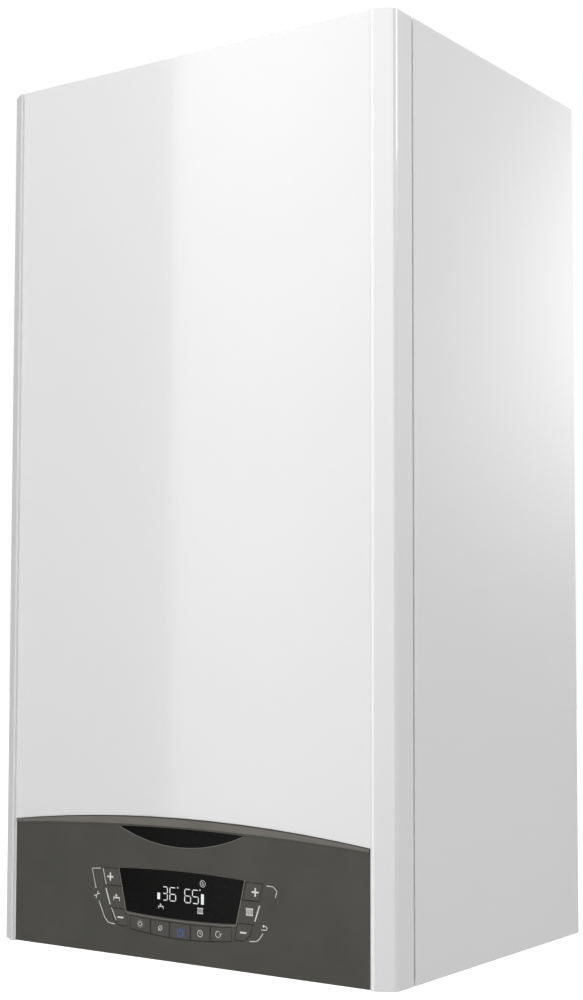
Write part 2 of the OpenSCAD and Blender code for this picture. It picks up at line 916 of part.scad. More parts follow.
module bottom_rail() {
    color(steel) difference() {
        union() {
            box([-arm_x - arm_t, -rail_d, 0], [arm_x + arm_t, panel_back_y, frame_t]);
            both_sides() box([arm_x, arm_front_y, 0], [arm_x + arm_t, arm_back_y, arm_h]);
        }
        both_sides() {
            bar_x(arm_x - cut, hinge_y, hinge_z, hinge_r + run_gap, arm_t + 2 * cut);
            bar_z(return_x, -tail_y, -cut, thread_34_r + nut_gap, frame_t + 2 * cut);
            bar_z(tail_pitch, -tail_y, -cut, thread_12_r + nut_gap, frame_t + 2 * cut);
        }
        bar_z(0, -tail_y, -cut, thread_34_r + nut_gap, frame_t + 2 * cut);
    }
}

// Combustion chamber

// The lipped frame, and five sheets a gap apart
module chamber_box() {
    back = chamber_back_y;
    face = chamber_y + sheet_t;
    half = chamber_half - sheet_t;
    head = chamber_top - sheet_t;
    mouth = chamber_half - chamber_lip;
    color("gainsboro") difference() {
        union() {
            difference() {
                box([-chamber_half, chamber_y, chamber_floor], [chamber_half, face, chamber_top]);
                box([-mouth, chamber_y - cut, chamber_floor + chamber_lip],
                    [mouth, face + cut, chamber_top - chamber_lip]);
            }
            box([gap - half, back - sheet_t, chamber_floor + sheet_t + gap], [half - gap, back, head - gap]);
            for (z = [chamber_floor, head]) box([gap - half, face + gap, z], [half - gap, back, z + sheet_t]);
            both_sides() {
                box([half, face + gap, chamber_floor], [chamber_half, back, chamber_top]);
                for (z = [chamber_floor, chamber_top - leg_h]) {
                    box([half, back - sheet_t, z], [chamber_half, frame_y - leg_back, z + leg_h]);
                }
            }
        }
        bar_z(0, -flue_y, head - sheet_t, air_bore_r, 3 * sheet_t);
        floor_hole(hx_x - coil_r, stub_y, pipe_r);
        floor_hole(riser_x, stub_y, pipe_r);
        floor_hole(0, valve_mid_y, gas_port_r);
        floor_hole(-trap_x, -trap_y, drain_stub_r);
        for (side = [-1, 1], z = leg_screw_heights()) {
            bar_x(side * chamber_half - 2 * sheet_t, frame_y - frame_flange / 2, z, frame_screw_r + run_gap,
                4 * sheet_t);
        }
    }
}

// A hole in the chamber's floor for a pipe of radius r
module floor_hole(x, y, r) {
    bar_z(x, y, chamber_floor - cut, r + hole_gap, sheet_t + 2 * cut);
}

module chamber_cover() {
    x = chamber_half + lid_over;
    foot = chamber_floor - lid_over;
    head = chamber_top + lid_over;
    rim_back = chamber_y - lid_rim_gap;
    color("gainsboro") {
        difference() {
            box([-x, lid_front_y, foot], [x, rim_back, head]);
            box([-x + lid_t, lid_front_y + lid_t, foot + lid_t], [x - lid_t, rim_back + cut, head - lid_t]);
        }
        // Two clips under the chamber's floor
        both_sides() box([clip_x, lid_front_y + lid_t / 2, foot],
            [clip_x + clip_w, chamber_y + clip_reach, foot + lid_t]);
    }
}

module chamber_seal() {
    half = chamber_half - sheet_t;
    foot = chamber_floor + sheet_t;
    head = chamber_top - sheet_t;
    color("darkslategray") difference() {
        box([-half, lid_inner_y, foot], [half, chamber_y - gap, head]);
        box([seal_w - half, lid_inner_y - cut, foot + seal_w], [half - seal_w, chamber_y + cut, head - seal_w]);
    }
}

// Control panel

// Outline of the display window, grown by g on all sides
module window_face(g) {
    reach = 6;
    lean = window_slope * reach;
    intersection() {
        translate([0, window_top + window_rise - window_top_r]) circle(r = window_top_r + g, $fn = 720);
        translate([0, window_foot - window_sag + window_foot_r]) circle(r = window_foot_r + g, $fn = 720);
        polygon([
            [-window_foot_half - g + lean, window_foot - reach],
            [window_foot_half + g - lean, window_foot - reach],
            [window_top_half + g + lean, window_top + reach],
            [-window_top_half - g - lean, window_top + reach]
        ]);
    }
}

// Half widths of the key columns at height z
window_slope = (window_top_half - window_foot_half) / (window_top - window_foot);
function column_inner(z) = window_foot_half + window_bridge + (z - window_foot) * window_slope;
function column_outer(z) = outline_foot_half - outline_in + outline_slope * (z - outline_foot);

// A right-hand key face between two heights, grown by g
module column_face(low, high, g) {
    polygon([
        [column_inner(low) - g, low - g], [column_outer(low) + g, low - g],
        [column_outer(high) + g, high + g], [column_inner(high) - g, high + g]
    ]);
}

// The minus key's face, whose lower outer corner is cut off
module minus_face(g) {
    corner = minus_corner;
    polygon([
        [column_inner(minus_foot) - g, minus_foot - g],
        [column_outer(minus_foot) - corner + g / 2, minus_foot - g],
        [column_outer(minus_foot + corner) + g, minus_foot + corner - g / 2],
        [column_outer(minus_top) + g, minus_top + g], [column_inner(minus_top) - g, minus_top + g]
    ]);
}

// A lower key face, counted from the left, grown by g
module row_face(i, g) {
    half_bridge = key_bridge / 2;
    reach = 4;
    intersection() {
        difference() {
            translate([0, row_foot + row_foot_r]) circle(r = row_foot_r + g, $fn = 720);
            translate([0, row_top + row_top_r]) circle(r = row_top_r - g, $fn = 720);
        }
        translate([row_edges[i] + half_bridge - g, row_foot - reach])
            square([row_edges[i + 1] - row_edges[i] - key_bridge + 2 * g, row_top - row_foot + 3 * reach]);
    }
}

module badge_face(g) {
    intersection() {
        translate([0, badge_top - arch_r]) circle(r = arch_r + g, $fn = 720);
        translate([0, badge_foot + badge_r]) circle(r = badge_r + g, $fn = 360);
    }
}

module control_fascia() {
    color(dark_shell) {
        difference() {
            union() {
                upright(front_y, face_back_y) under_arch(fascia_gap, fascia_foot);
                upright(front_y - band_rise, front_y + fascia_t / 2) difference() {
                    under_arch(fascia_gap, fascia_foot);
                    translate([0, arch_apex - band_w - band_r]) circle(r = band_r, $fn = 720);
                    translate([-flat_half, 0]) square([2 * flat_half, badge_foot]);
                }
            }
            upright(front_y - cut, face_back_y + cut) {
                window_face(window_gap);
                for (side = [-1, 1]) scale_x(side) {
                    column_face(plus_foot, plus_top, key_gap);
                    minus_face(key_gap);
                }
                for (i = [0:4]) row_face(i, key_gap);
            }
            upright(front_y - cut, front_y + badge_t) badge_face(window_gap);
        }
        difference() {
            upright(face_back_y - fascia_t / 2, rim_back_y) under_arch(fascia_gap, fascia_foot);
            upright(face_back_y - fascia_t, rim_back_y + cut)
                under_arch(fascia_gap + shell_t, fascia_foot + shell_t);
        }
        both_sides() {
            for (z = [board_boss[1], board_boss[2]]) {
                bar_y(board_boss[0], face_back_y - fascia_t / 2, z, small_boss_r,
                    board_front_y - gap - face_back_y + fascia_t / 2);
            }
            for (z = [tray_foot + boss_up, tray_top - boss_up]) {
                bar_y(tray_half - boss_in, face_back_y - fascia_t / 2, z, boss_r,
                    tray_front_y - gap - face_back_y + fascia_t / 2);
            }
        }
    }
}

// Mirrors a flat outline for side -1
module scale_x(side) {
    if (side < 0) {
        mirror([1, 0]) children();
    } else {
        children();
    }
}

module badge_plate() {
    color(black_gloss) upright(front_y - badge_proud, front_y + badge_t - gap / 2) badge_face(0);
}

module display_window() {
    color(black_gloss) upright(front_y - window_proud, front_y - window_proud + window_t) window_face(0);
}

module display_module() {
    half = window_foot_half - module_in[0];
    color("darkolivegreen") box([-half, front_y + window_t + module_gap, window_foot + module_in[1]],
        [half, board_front_y - module_gap, window_top - module_in[1]]);
}

// A key: its cap and the stem that presses its switch
module key_body(x, z) {
    upright(front_y, front_y + cap_t) children();
    bar_y(x, front_y + cap_t / 2, z, stem_r, stem_end_y - front_y - cap_t / 2);
}

// Places where the stems stand
function column_mid(low, high) = [
    (column_inner((low + high) / 2) + column_outer((low + high) / 2)) / 2, (low + high) / 2
];
plus_mid = column_mid(plus_foot, plus_top);
minus_mid = column_mid(minus_foot, minus_top);
function row_mid(i) = (row_edges[i] + row_edges[i + 1]) / 2;
row_mid_z = (row_foot + row_top) / 2 + row_stem_up;

module plus_key(side) {
    color(dark_shell) key_body(side * plus_mid[0], plus_mid[1]) scale_x(side)
        column_face(plus_foot, plus_top, 0);
}

module minus_key(side) {
    color(dark_shell) key_body(side * minus_mid[0], minus_mid[1]) scale_x(side) minus_face(0);
}

module row_key(i) {
    color(dark_shell) key_body(row_mid(i), row_mid_z) row_face(i, 0);
}

module key_dhw_plus() { plus_key(-1); }
module key_dhw_minus() { minus_key(-1); }
module key_heat_plus() { plus_key(1); }
module key_heat_minus() { minus_key(1); }
module key_mode() { row_key(0); }
module key_comfort() { row_key(1); }
module key_power() { row_key(2); }
module key_auto() { row_key(3); }
module key_reset() { row_key(4); }

module display_board() {
    color("darkgreen") {
        box([-board_half, board_front_y, board_foot], [board_half, board_front_y + board_t, board_top]);
        for (side = [-1, 1]) {
            switch(side * plus_mid[0], plus_mid[1]);
            switch(side * minus_mid[0], minus_mid[1]);
        }
        for (i = [0:4]) switch(row_mid(i), row_mid_z);
    }
}

// A push switch on the display board
module switch(x, z) {
    bar_y(x, board_front_y - switch_h, z, switch_r, switch_h + board_t / 2);
}

module control_tray() {
    x = tray_half;
    color("gray") difference() {
        box([-x, tray_front_y, tray_foot], [x, tray_back_y, tray_top]);
        box([-x + shell_t, tray_front_y + shell_t, tray_foot + shell_t],
            [x - shell_t, tray_back_y - shell_t, tray_top - shell_t]);
        box([-x + tray_lip, tray_front_y - cut, tray_foot + tray_lip],
            [x - tray_lip, tray_front_y + 2 * shell_t, tray_top - tray_lip]);
        both_sides() bar_x(x - shell_t - cut, hinge_y, hinge_z, hinge_r + run_gap, shell_t + 2 * cut);
    }
}

module main_board() {
    foot = tray_foot + main_board_in;
    top = tray_top - tray_lip;
    boss_x = main_board_half - main_boss_in[0];
    color("darkgreen") {
        box([-main_board_half, main_face_y - board_t, foot], [main_board_half, main_face_y, top]);
        for (x = [-boss_x, boss_x], z = [foot + main_boss_in[1], top - main_boss_in[1]]) {
            bar_y(x, main_face_y - board_t / 2, z, boss_r, main_standoff + board_t / 2);
        }
        board_part(transformer_at, transformer);
        for (i = [0:relays - 1]) board_part(relay_at + [i * relay_pitch, 0], relay);
        for (i = [0:capacitors - 1]) {
            bar_y(capacitor_at[0] + i * capacitor_pitch, main_face_y - capacitor_len,
                foot + capacitor_at[1], capacitor_r, capacitor_len - board_t / 2);
        }
        board_part(terminal_at, terminal);
    }
}

// A block on the main board, from its low corner [x, height above the foot]
module board_part(at, size) {
    z = tray_foot + main_board_in + at[1];
    box([at[0], main_face_y - size[1], z], [at[0] + size[0], main_face_y - board_t / 2, z + size[2]]);
}

module hinge_pins() {
    start = tray_half - shell_t - pin_in;
    color(steel) both_sides() {
        bar_x(start, hinge_y, hinge_z, hinge_r, arm_x + arm_t + pin_head_t - start);
        bar_x(arm_x + arm_t + gap, hinge_y, hinge_z, pin_head_r, pin_head_t);
    }
}

// Heat exchanger and burner

module heat_exchanger() {
    inner_r = hx_r - hx_wall;
    feet_y = hx_back_y - hx_wall;
    color(steel) difference() {
        union() {
            bar_y(hx_x, hx_y, hx_z, hx_r, hx_len);
            bar_y(hx_x, hx_y, hx_z, hx_flange_r, hx_flange_t);
            bar_z(hx_x, -flue_y, hx_z + hx_r - stub_root, flue_pipe_r, flue_stub_rise + stub_root);
            bar_z(-trap_x, drain_y, stub_z, drain_stub_r, stub_drop + stub_root);
            for (a = [45:90:315]) {
                bar_y(hx_x + foot_ring_r * cos(a), feet_y, hx_z + foot_ring_r * sin(a), foot_r,
                    chamber_back_y - sheet_t - gap - feet_y);
            }
        }
        bar_y(hx_x, hx_y - cut, hx_z, inner_r - mouth_step, hx_flange_t + 2 * cut);
        bar_y(hx_x, hx_y + hx_flange_t, hx_z, inner_r, hx_len - hx_flange_t - hx_wall);
        bar_z(hx_x, -flue_y, hx_z + coil_r, flue_pipe_r - flue_pipe_wall, hx_r);
        bar_z(-trap_x, drain_y, stub_z - cut, drain_stub_r - drain_wall, hx_r - coil_r + stub_root);
        for (side = [-1, 1]) {
            bar_z(hx_x + side * coil_r, stub_y, hx_z - hx_r, coil_tube_r + coil_gap, hx_r);
        }
    }
}

module exchanger_coil() {
    color(steel) {
        for (i = [0:coil_turns - 1]) {
            translate([hx_x, hx_y + coil_first + i * coil_pitch, hx_z]) rotate([90, 0, 0])
                rotate_extrude($fn = 96) translate([coil_r, 0]) circle(r = coil_tube_r);
        }
        for (side = [-1, 1]) {
            bar_y(hx_x + side * coil_r, hx_y + coil_first, hx_z, header_r, (coil_turns - 1) * coil_pitch);
            bar_z(hx_x + side * coil_r, stub_y, stub_z, header_r, hx_z - stub_z);
        }
    }
}

module burner() {
    color("lightsteelblue") difference() {
        bar_y(hx_x, burner_y, hx_z, burner_r, burner_len);
        bar_y(hx_x, burner_y - cut, hx_z, burner_r - burner_wall, burner_len - burner_wall + cut);
    }
}

module burner_door() {
    plug_y = door_y + door_t - plug_back;
    through = door_t + plug_len + 2 * cut;
    color("darkgray") difference() {
        union() {
            bar_y(hx_x, door_y, hx_z, hx_flange_r, door_t);
            bar_y(hx_x, plug_y, hx_z, hx_r - hx_wall - mouth_step - cut, plug_len);
        }
        bar_y(hx_x, door_y - cut, hx_z, door_inlet_r, through);
        bar_y(hx_x, burner_y - gap, hx_z, burner_r + gap, plug_len + cut);
        for (z = electrode_heights()) {
            bar_y(hx_x + electrode_at[0], door_y - cut, z, electrode_r + run_gap, through);
        }
    }
}

function electrode_heights() = [hx_z + electrode_at[1], hx_z - electrode_at[1]];

module electrodes() {
    x = hx_x + electrode_at[0];
    tip_y = door_y + electrode_reach;
    color("ivory") for (z = electrode_heights()) {
        bar_y(x, door_y - electrode_nose, z, electrode_r, electrode_nose + electrode_reach);
        bar_y(x, door_y - electrode_collar_t - gap, z, electrode_collar_r, electrode_collar_t);
        bar_y(x, tip_y - 2 * cut, z, spark_r, spark_len + 2 * cut);
    }
}

// Fan, mixer and ducts

module fan_housing() {
    back = fan_y + fan_len;
    color("darkgray") difference() {
        union() {
            bar_y(fan_x, fan_y, fan_z, fan_r, fan_len);
            box([fan_x - outlet_w, fan_y, fan_z + fan_r - duct_h], [fan_x, back, fan_z + fan_r]);
        }
        bar_y(fan_x, fan_y + fan_wall, fan_z, fan_r - fan_wall, fan_len - 2 * fan_wall);
        box([fan_x - outlet_w - cut, fan_y + fan_wall, fan_z + fan_r - duct_h + fan_wall],
            [fan_x, back - fan_wall, fan_z + fan_r - fan_wall]);
        bar_y(fan_x, fan_y - cut, fan_z, fan_inlet_r, fan_wall + 2 * cut);
        bar_y(fan_x, back - fan_wall - cut, fan_z, fan_shaft_r + shaft_gap, fan_wall + 2 * cut);
    }
}

module fan_impeller() {
    y = fan_y + impeller_gap;
    len = fan_len - 2 * impeller_gap;
    back = y + len;
    hub_y = y + len / 2;
    shaft_end = fan_y + fan_len + fan_motor_len - motor_cap[1] - motor_end;
    color(plastic_grey) {
        bar_y(fan_x, back - blade_t, fan_z, impeller_r, blade_t);
        difference() {
            bar_y(fan_x, y, fan_z, impeller_r, shroud_t);
            bar_y(fan_x, y - cut, fan_z, fan_inlet_r + shaft_gap, shroud_t + 2 * cut);
        }
        for (i = [0:blades - 1]) {
            translate([fan_x, 0, fan_z]) rotate([0, i * 360 / blades, 0])
                box([fan_inlet_r + blade_in, y + shroud_t / 2, -blade_t / 2],
                    [impeller_r - cut, back - blade_t / 2, blade_t / 2]);
        }
        bar_y(fan_x, hub_y, fan_z, hub_r, back - blade_t / 2 - hub_y);
        bar_y(fan_x, hub_y + cut, fan_z, fan_shaft_r, shaft_end - hub_y - cut);
    }
}

module fan_motor() {
    y = fan_y + fan_len + gap;
    end = y + fan_motor_len;
    color("black") difference() {
        union() {
            bar_y(fan_x, y, fan_z, fan_motor_r, fan_motor_len - motor_cap[1]);
            bar_y(fan_x, y + cut, fan_z, fan_motor_r - motor_cap[0], fan_motor_len - cut);
        }
        bar_y(fan_x, y - cut, fan_z, fan_shaft_r + run_gap, end - motor_end - y + cut);
    }
}

module mixer() {
    z = fan_z;
    port_len = mixer_r + gas_port_drop;
    neck_len = mixer_r + silencer_neck;
    color("lightgray") difference() {
        union() {
            bar_y(fan_x, mixer_y, z, mixer_r, mixer_len);
            bar_z(fan_x, mixer_mid_y, z - port_len, gas_port_r + mixer_wall - cut, mixer_r);
            bar_z(fan_x, mixer_mid_y, z + neck_len - 2 * silencer_r, silencer_r, 2 * silencer_r);
        }
        bar_y(fan_x, mixer_y + fan_wall, z, mixer_r - mixer_wall, mixer_len);
        bar_z(fan_x, mixer_mid_y, z - port_len - cut, gas_port_r - pipe_wall, port_len);
        bar_z(fan_x, mixer_mid_y, z, silencer_r - silencer_wall, neck_len + cut);
    }
}

module air_silencer() {
    foot = fan_z + mixer_r + silencer_neck + gap;
    color("dimgray") difference() {
        bar_z(fan_x, mixer_mid_y, foot, silencer_r, silencer_len);
        bar_z(fan_x, mixer_mid_y, foot - cut, silencer_r - silencer_wall, silencer_len + 2 * cut);
    }
}

module mixture_duct() {
    left = hx_x - door_inlet_r - duct_side;
    low = hx_z - duct_h / 2;
    high = hx_z + duct_h / 2;
    leg_x = duct_x - duct_leg;
    leg_y = fan_y + fan_len;
    color("darkgray") difference() {
        union() {
            box([left, duct_front_y, low], [duct_x, duct_back_y, high]);
            box([leg_x, duct_front_y, low], [duct_x, leg_y, high]);
        }
        box([left + fan_wall, duct_front_y + fan_wall, low + fan_wall],
            [duct_x - fan_wall, duct_back_y - fan_wall, high - fan_wall]);
        box([leg_x + fan_wall, duct_front_y + fan_wall, low + fan_wall],
            [duct_x - fan_wall, leg_y - fan_wall, high - fan_wall]);
        box([duct_x - 2 * fan_wall, fan_y + fan_wall, low + fan_wall],
            [duct_x + cut, leg_y - fan_wall, high - fan_wall]);
        bar_y(hx_x, duct_back_y - 2 * fan_wall, hx_z, duct_hole_r, 2 * fan_wall + cut);
    }
}

// Flue

module flue_duct() {
    r = flue_pipe_r;
    foot = flue_stub_top + gap;
    bend = hx_left / 2;
    turn_z = foot + bend + flue_rise;
    points = [
        [hx_x, -flue_y, foot], [hx_x, -flue_y, turn_z],
        [0, -flue_y, turn_z], [0, -flue_y, socket_foot - gap]
    ];
    color("white") {
        pipe(points, r, flue_pipe_wall, bend);
        socket_ring(0, socket_foot - upper_ring[0], flue_socket_r + gap, upper_ring[1], ring_step,
            upper_ring[1]);
        socket_ring(hx_x, foot - lower_ring[0], r + gap, lower_ring[1], 0, lower_ring[1] - ring_step);
    }
}

// A socket ring at x, open between two heights above its foot
module socket_ring(x, z, bore, len, open_low, open_high) {
    difference() {
        bar_z(x, -flue_y, z, bore + ring_wall, len);
        bar_z(x, -flue_y, z + open_low - (open_low == 0 ? cut : 0), bore,
            open_high - open_low + cut);
        bar_z(x, -flue_y, z - cut, flue_pipe_r - flue_pipe_wall / 2, len + 2 * cut);
    }
}

module flue_collar() {
    color("whitesmoke") difference() {
        union() {
            bar_z(0, -flue_y, chamber_top + gap, air_socket_r, collar_top - chamber_top - gap);
            box([-collar_half, -flue_y - collar_half, collar_seat], [collar_half, -flue_y + collar_half,
                collar_seat + collar_t]);
        }
        bar_z(0, -flue_y, chamber_top - cut, air_bore_r, collar_top - chamber_top + 2 * cut);
    }
}

module flue_socket() {
    web_top = collar_seat + collar_t + web_over;
    color("white") {
        difference() {
            bar_z(0, -flue_y, socket_foot, flue_socket_r, collar_top - socket_foot);
            bar_z(0, -flue_y, socket_foot - cut, flue_bore_r, collar_top - socket_foot + 2 * cut);
        }
        for (a = [90:120:330]) {
            translate([0, -flue_y, 0]) rotate([0, 0, a])
                box([flue_socket_r - cut, -web_t / 2, collar_seat],
                    [air_bore_r - gap, web_t / 2, web_top]);
        }
    }
}

// Gas

module gas_valve() {
    w = valve_box_half;
    front = valve_box_front - coil_can_out;
    color("slategray") {
        box([-w, -front, valve_box_foot + valve_neck_len],
            [w, -valve_box_back, valve_box_top - valve_neck_len]);
        bar_z(0, valve_mid_y, valve_box_foot, valve_neck_r, valve_box_top - valve_box_foot);
        for (x = coil_can_x) {
            bar_y(x, -valve_box_front, valve_box_foot + coil_can_up, coil_can_r, coil_can_len);
        }
    }
}

module gas_pipe() {
    points = [
        [0, -tail_y, tail_foot + thread_len + nut_h], [0, -tail_y, arm_z], [0, valve_mid_y, arm_z],
        [0, valve_mid_y, valve_box_foot - gap]
    ];
    color("gold") {
        pipe(points, pipe_r, pipe_wall, bend_r);
        threaded_tail(0, thread_34_r, frame_t + gap + nut_h);
    }
}

module gas_feed_pipe() {
    points = [
        [0, valve_mid_y, valve_box_top + gap], [0, valve_mid_y, gas_feed_z],
        [fan_x, valve_mid_y, gas_feed_z], [fan_x, mixer_mid_y, gas_feed_z],
        [fan_x, mixer_mid_y, fan_z - mixer_r - gas_port_drop - gap]
    ];
    color("gold") pipe(points, gas_port_r, pipe_wall, gas_feed_bend);
}

// A pipe connection: thread, neck through the rail up to a height, and nut
module threaded_tail(x, r, top) {
    thread_top = tail_foot + thread_len;
    difference() {
        union() {
            bar_z(x, -tail_y, tail_foot, r, thread_len);
            bar_z(x, -tail_y, thread_top - cut, r - neck_in, top - thread_top + cut);
            bar_z(x, -tail_y, frame_t + gap, r + nut_over, nut_h);
        }
        bar_z(x, -tail_y, tail_foot - cut, tail_bore_r, top - tail_foot + 2 * cut);
    }
}

// Water

// Half of the vessel's section, drawn in by an inset
module vessel_section(inset) {
    round_r = vessel_d / 2 - vessel_edge - inset;
    r = vessel_r - inset;
    translate([0, inset]) {
        square([r - round_r, vessel_d - 2 * inset]);
        translate([r - round_r, round_r]) circle(r = round_r);
        translate([r - round_r, vessel_d - 2 * inset - round_r]) circle(r = round_r);
        translate([0, round_r]) square([r, vessel_d - 2 * inset - 2 * round_r]);
    }
}

vessel_back_y = frame_y - gap;
vessel_mid_y = vessel_back_y - vessel_d / 2;
vessel_port_z = floor(vessel_z - sqrt(vessel_r * vessel_r - vessel_pipe_x * vessel_pipe_x)) - 13;
vessel_port_len = 30;

module expansion_vessel() {
    seam_z = (vessel_d - vessel_seam[1]) / 2;
    color("firebrick") difference() {
        union() {
            translate([0, vessel_back_y, vessel_z]) rotate([90, 0, 0]) {
                rotate_extrude($fn = 96) vessel_section(0);
                translate([0, 0, seam_z])
                    cylinder(r = vessel_r + vessel_seam[0], h = vessel_seam[1], $fn = 96);
            }
            bar_z(vessel_pipe_x, vessel_mid_y, vessel_port_z, vessel_pipe_r + vessel_seam[0],
                vessel_port_len);
        }
        translate([0, vessel_back_y, vessel_z]) rotate([90, 0, 0]) rotate_extrude($fn = 96)
            vessel_section(vessel_wall);
        bar_z(vessel_pipe_x, vessel_mid_y, vessel_port_z - cut, vessel_pipe_r - pipe_wall,
            vessel_port_len + vessel_edge);
    }
}

module vessel_pipe() {
    drop_x = pump_x - vessel_pipe_in;
    entry_z = pump_z + vessel_pipe_up;
    points = [
        [vessel_pipe_x, vessel_mid_y, vessel_port_z - gap], [vessel_pipe_x, vessel_mid_y, riser_turn_z],
        [drop_x, vessel_mid_y, riser_turn_z], [drop_x, vessel_mid_y, entry_z],
        [drop_x, volute_back_y + gap, entry_z]
    ];
    color(copper) pipe(points, vessel_pipe_r, pipe_wall, vessel_pipe_bend);
}

// A half inch connection at x that an arm joins to its group
module side_connection(x, from) {
    bar_x(min(x, from), -tail_y, arm_z, arm_r, abs(from - x));
    threaded_tail(x, thread_12_r, arm_z);
}

module flow_group() {
    x = flow_x;
    drain_at_y = -group_front - valve_drain_in;
    color(brass) difference() {
        union() {
            box([x - group_half, -group_front, group_foot], [x + group_half, -group_back, flow_group_top]);
            threaded_tail(x, thread_34_r, group_foot + cut);
            side_connection(-tail_pitch, x);
            bar_y(x, -group_front - valve_body_len, safety_z, valve_body_r, valve_body_len + cut);
            for (z = port_heights) bar_x(x, -tail_y, z, port_r, -plate_hx_w / 2 - gap - x);
            bar_z(x, drain_at_y, tail_foot, valve_drain_r, safety_z - tail_foot);
        }
        bar_z(x, -tail_y, tail_foot - cut, tail_bore_r, flow_group_top - tail_foot + 2 * cut);
        bar_z(-tail_pitch, -tail_y, tail_foot - cut, tail_bore_r, arm_z - tail_foot + cut);
        bar_z(x, drain_at_y, tail_foot - cut, valve_drain_bore, safety_z - tail_foot);
        bar_y(x, -group_front - cut, diverter_z, spindle_r + run_gap, spindle_seat);
        bar_y(x, -group_front + spindle_in, diverter_z, diverter_bore_r, diverter_bore_len);
    }
}

module diverter_motor() {
    len = diverter_motor_len;
    y = -group_front - gap - len;
    top = diverter_z + diverter_motor_r;
    color("black") difference() {
        union() {
            bar_y(flow_x, y, diverter_z, diverter_motor_r, len);
            box([flow_x - plug_box[0], y + plug_box[1], top - plug_box[1]],
                [flow_x + plug_box[0], y + len - plug_box[2], top + plug_box[3]]);
        }
        bar_y(flow_x, y + motor_bottom, diverter_z, spindle_r + run_gap, len);
    }
}

module diverter_spindle() {
    start = -group_front - gap - diverter_motor_len + motor_bottom + diverter_travel + motor_bottom;
    disc_y = -group_front + spindle_seat;
    color(steel) {
        bar_y(flow_x, start, diverter_z, spindle_r, disc_y + spindle_disc_t - start);
        bar_y(flow_x, disc_y, diverter_z, spindle_disc_r, spindle_disc_t);
    }
}

module safety_knob() {
    back = -group_front - valve_body_len - gap;
    front = back - knob_len;
    reach = safety_knob_r + knob_bar[0];
    color("red") {
        bar_y(flow_x, front, safety_z, safety_knob_r, knob_len);
        box([flow_x - reach, front - knob_bar[1], safety_z - knob_bar[2]],
            [flow_x + reach, back - knob_len / 2, safety_z + knob_bar[2]]);
    }
}

module return_group() {
    x = return_x;
    cavity = rotor_in + rotor_len + rotor_gap;
    color(brass) difference() {
        union() {
            box([x - group_half, -group_front, group_foot], [x + group_half, -group_back, return_group_top]);
            threaded_tail(x, thread_34_r, group_foot + cut);
            side_connection(tail_pitch, x);
            bar_y(pump_x, volute_front_y, pump_z, volute_r, volute_back_y - volute_front_y);
            bar_z(riser_x, riser_y, pump_z, pipe_r + port_wall, riser_top - pump_z);
            bar_y(tap_x, -group_front - tap_len, fill_z, tap_r, tap_len + cut);
            for (z = port_heights) {
                bar_x(plate_hx_w / 2 + gap, -tail_y, z, port_r, pump_x - plate_hx_w / 2 - gap);
            }
        }
        bar_z(x, -tail_y, tail_foot - cut, tail_bore_r, pump_z - tail_foot);
        bar_z(tail_pitch, -tail_y, tail_foot - cut, tail_bore_r, arm_z - tail_foot + cut);
        bar_y(pump_x, volute_front_y - cut, pump_z, rotor_r + rotor_gap, cavity + cut);
        bar_z(riser_x, riser_y, pump_z + rotor_in, pipe_r - port_wall, riser_top - pump_z);
    }
}

module pump_motor() {
    box_top = pump_z + motor_r + motor_box[3];
    color("darkslategray") difference() {
        union() {
            bar_y(pump_x, motor_y, pump_z, motor_r - motor_step[0], motor_len);
            bar_y(pump_x, motor_y + motor_step[1], pump_z, motor_r, motor_len - motor_step[1]);
            box([pump_x - motor_box[0], motor_y + motor_box[1], pump_z + motor_r - motor_step[1]],
                [pump_x + motor_box[0], motor_back_y - motor_box[2], box_top]);
        }
        bar_y(pump_x, motor_y + motor_box[1], pump_z, rotor_shaft_r + run_gap, motor_len);
    }
}

module pump_impeller() {
    back = rotor_y + rotor_len;
    color(plastic_grey) {
        bar_y(pump_x, rotor_y, pump_z, rotor_r, rotor_plate);
        bar_y(pump_x, back - rotor_plate, pump_z, rotor_r, rotor_plate);
        for (i = [0:rotor_blades - 1]) {
            translate([pump_x, 0, pump_z]) rotate([0, i * 360 / rotor_blades, 0])
                box([rotor_shaft_r - cut, rotor_y + rotor_plate / 2, -rotor_plate / 2],
                    [rotor_r - rotor_plate, back - rotor_plate / 2, rotor_plate / 2]);
        }
        bar_y(pump_x, motor_y + shaft_in, pump_z, rotor_shaft_r, back - motor_y - shaft_in);
    }
}

module plate_heat_exchanger() {
    w = plate_hx_w / 2;
    foot = plate_hx_foot;
    front = -group_front + plate_hx_in;
    step = (-group_back - front) / plates;
    color("rosybrown") for (i = [0:plates - 1]) {
        inset = i % 2 * plate_step;
        box([-w + inset, front + i * step, foot + inset],
            [w - inset, front + (i + 1) * step, foot + plate_hx_h - inset]);
    }
}

module filling_handle() {
    back = -group_front - tap_len - gap;
    color("royalblue") {
        bar_y(tap_x, back - handle_hub[1], fill_z, handle_hub[0], handle_hub[1]);
        box([tap_x, back - handle_bar[1], fill_z - handle_bar[0]],
            [tap_x + fill_handle, back - handle_bar[2], fill_z + handle_bar[0]]);
    }
}

module flow_pipe() {
    x = hx_x - coil_r;
    end_y = -tail_y - bend_r / 2;
    points = [
        [x, stub_y, stub_z - gap], [x, stub_y, riser_turn_z],
        [x, end_y, riser_turn_z], [x, end_y, flow_group_top + gap]
    ];
    color(copper) pipe(points, pipe_r, pipe_wall, bend_r);
}

module return_pipe() {
    x = hx_x + coil_r;
    cross_z = chamber_floor + cross_up;
    points = [
        [x, stub_y, stub_z - gap], [x, stub_y, cross_z], [riser_x, stub_y, cross_z],
        [riser_x, stub_y, riser_turn_z], [riser_x, riser_y, riser_turn_z],
        [riser_x, riser_y, riser_top + gap]
    ];
    color(copper) pipe(points, pipe_r, pipe_wall, bend_r);
}

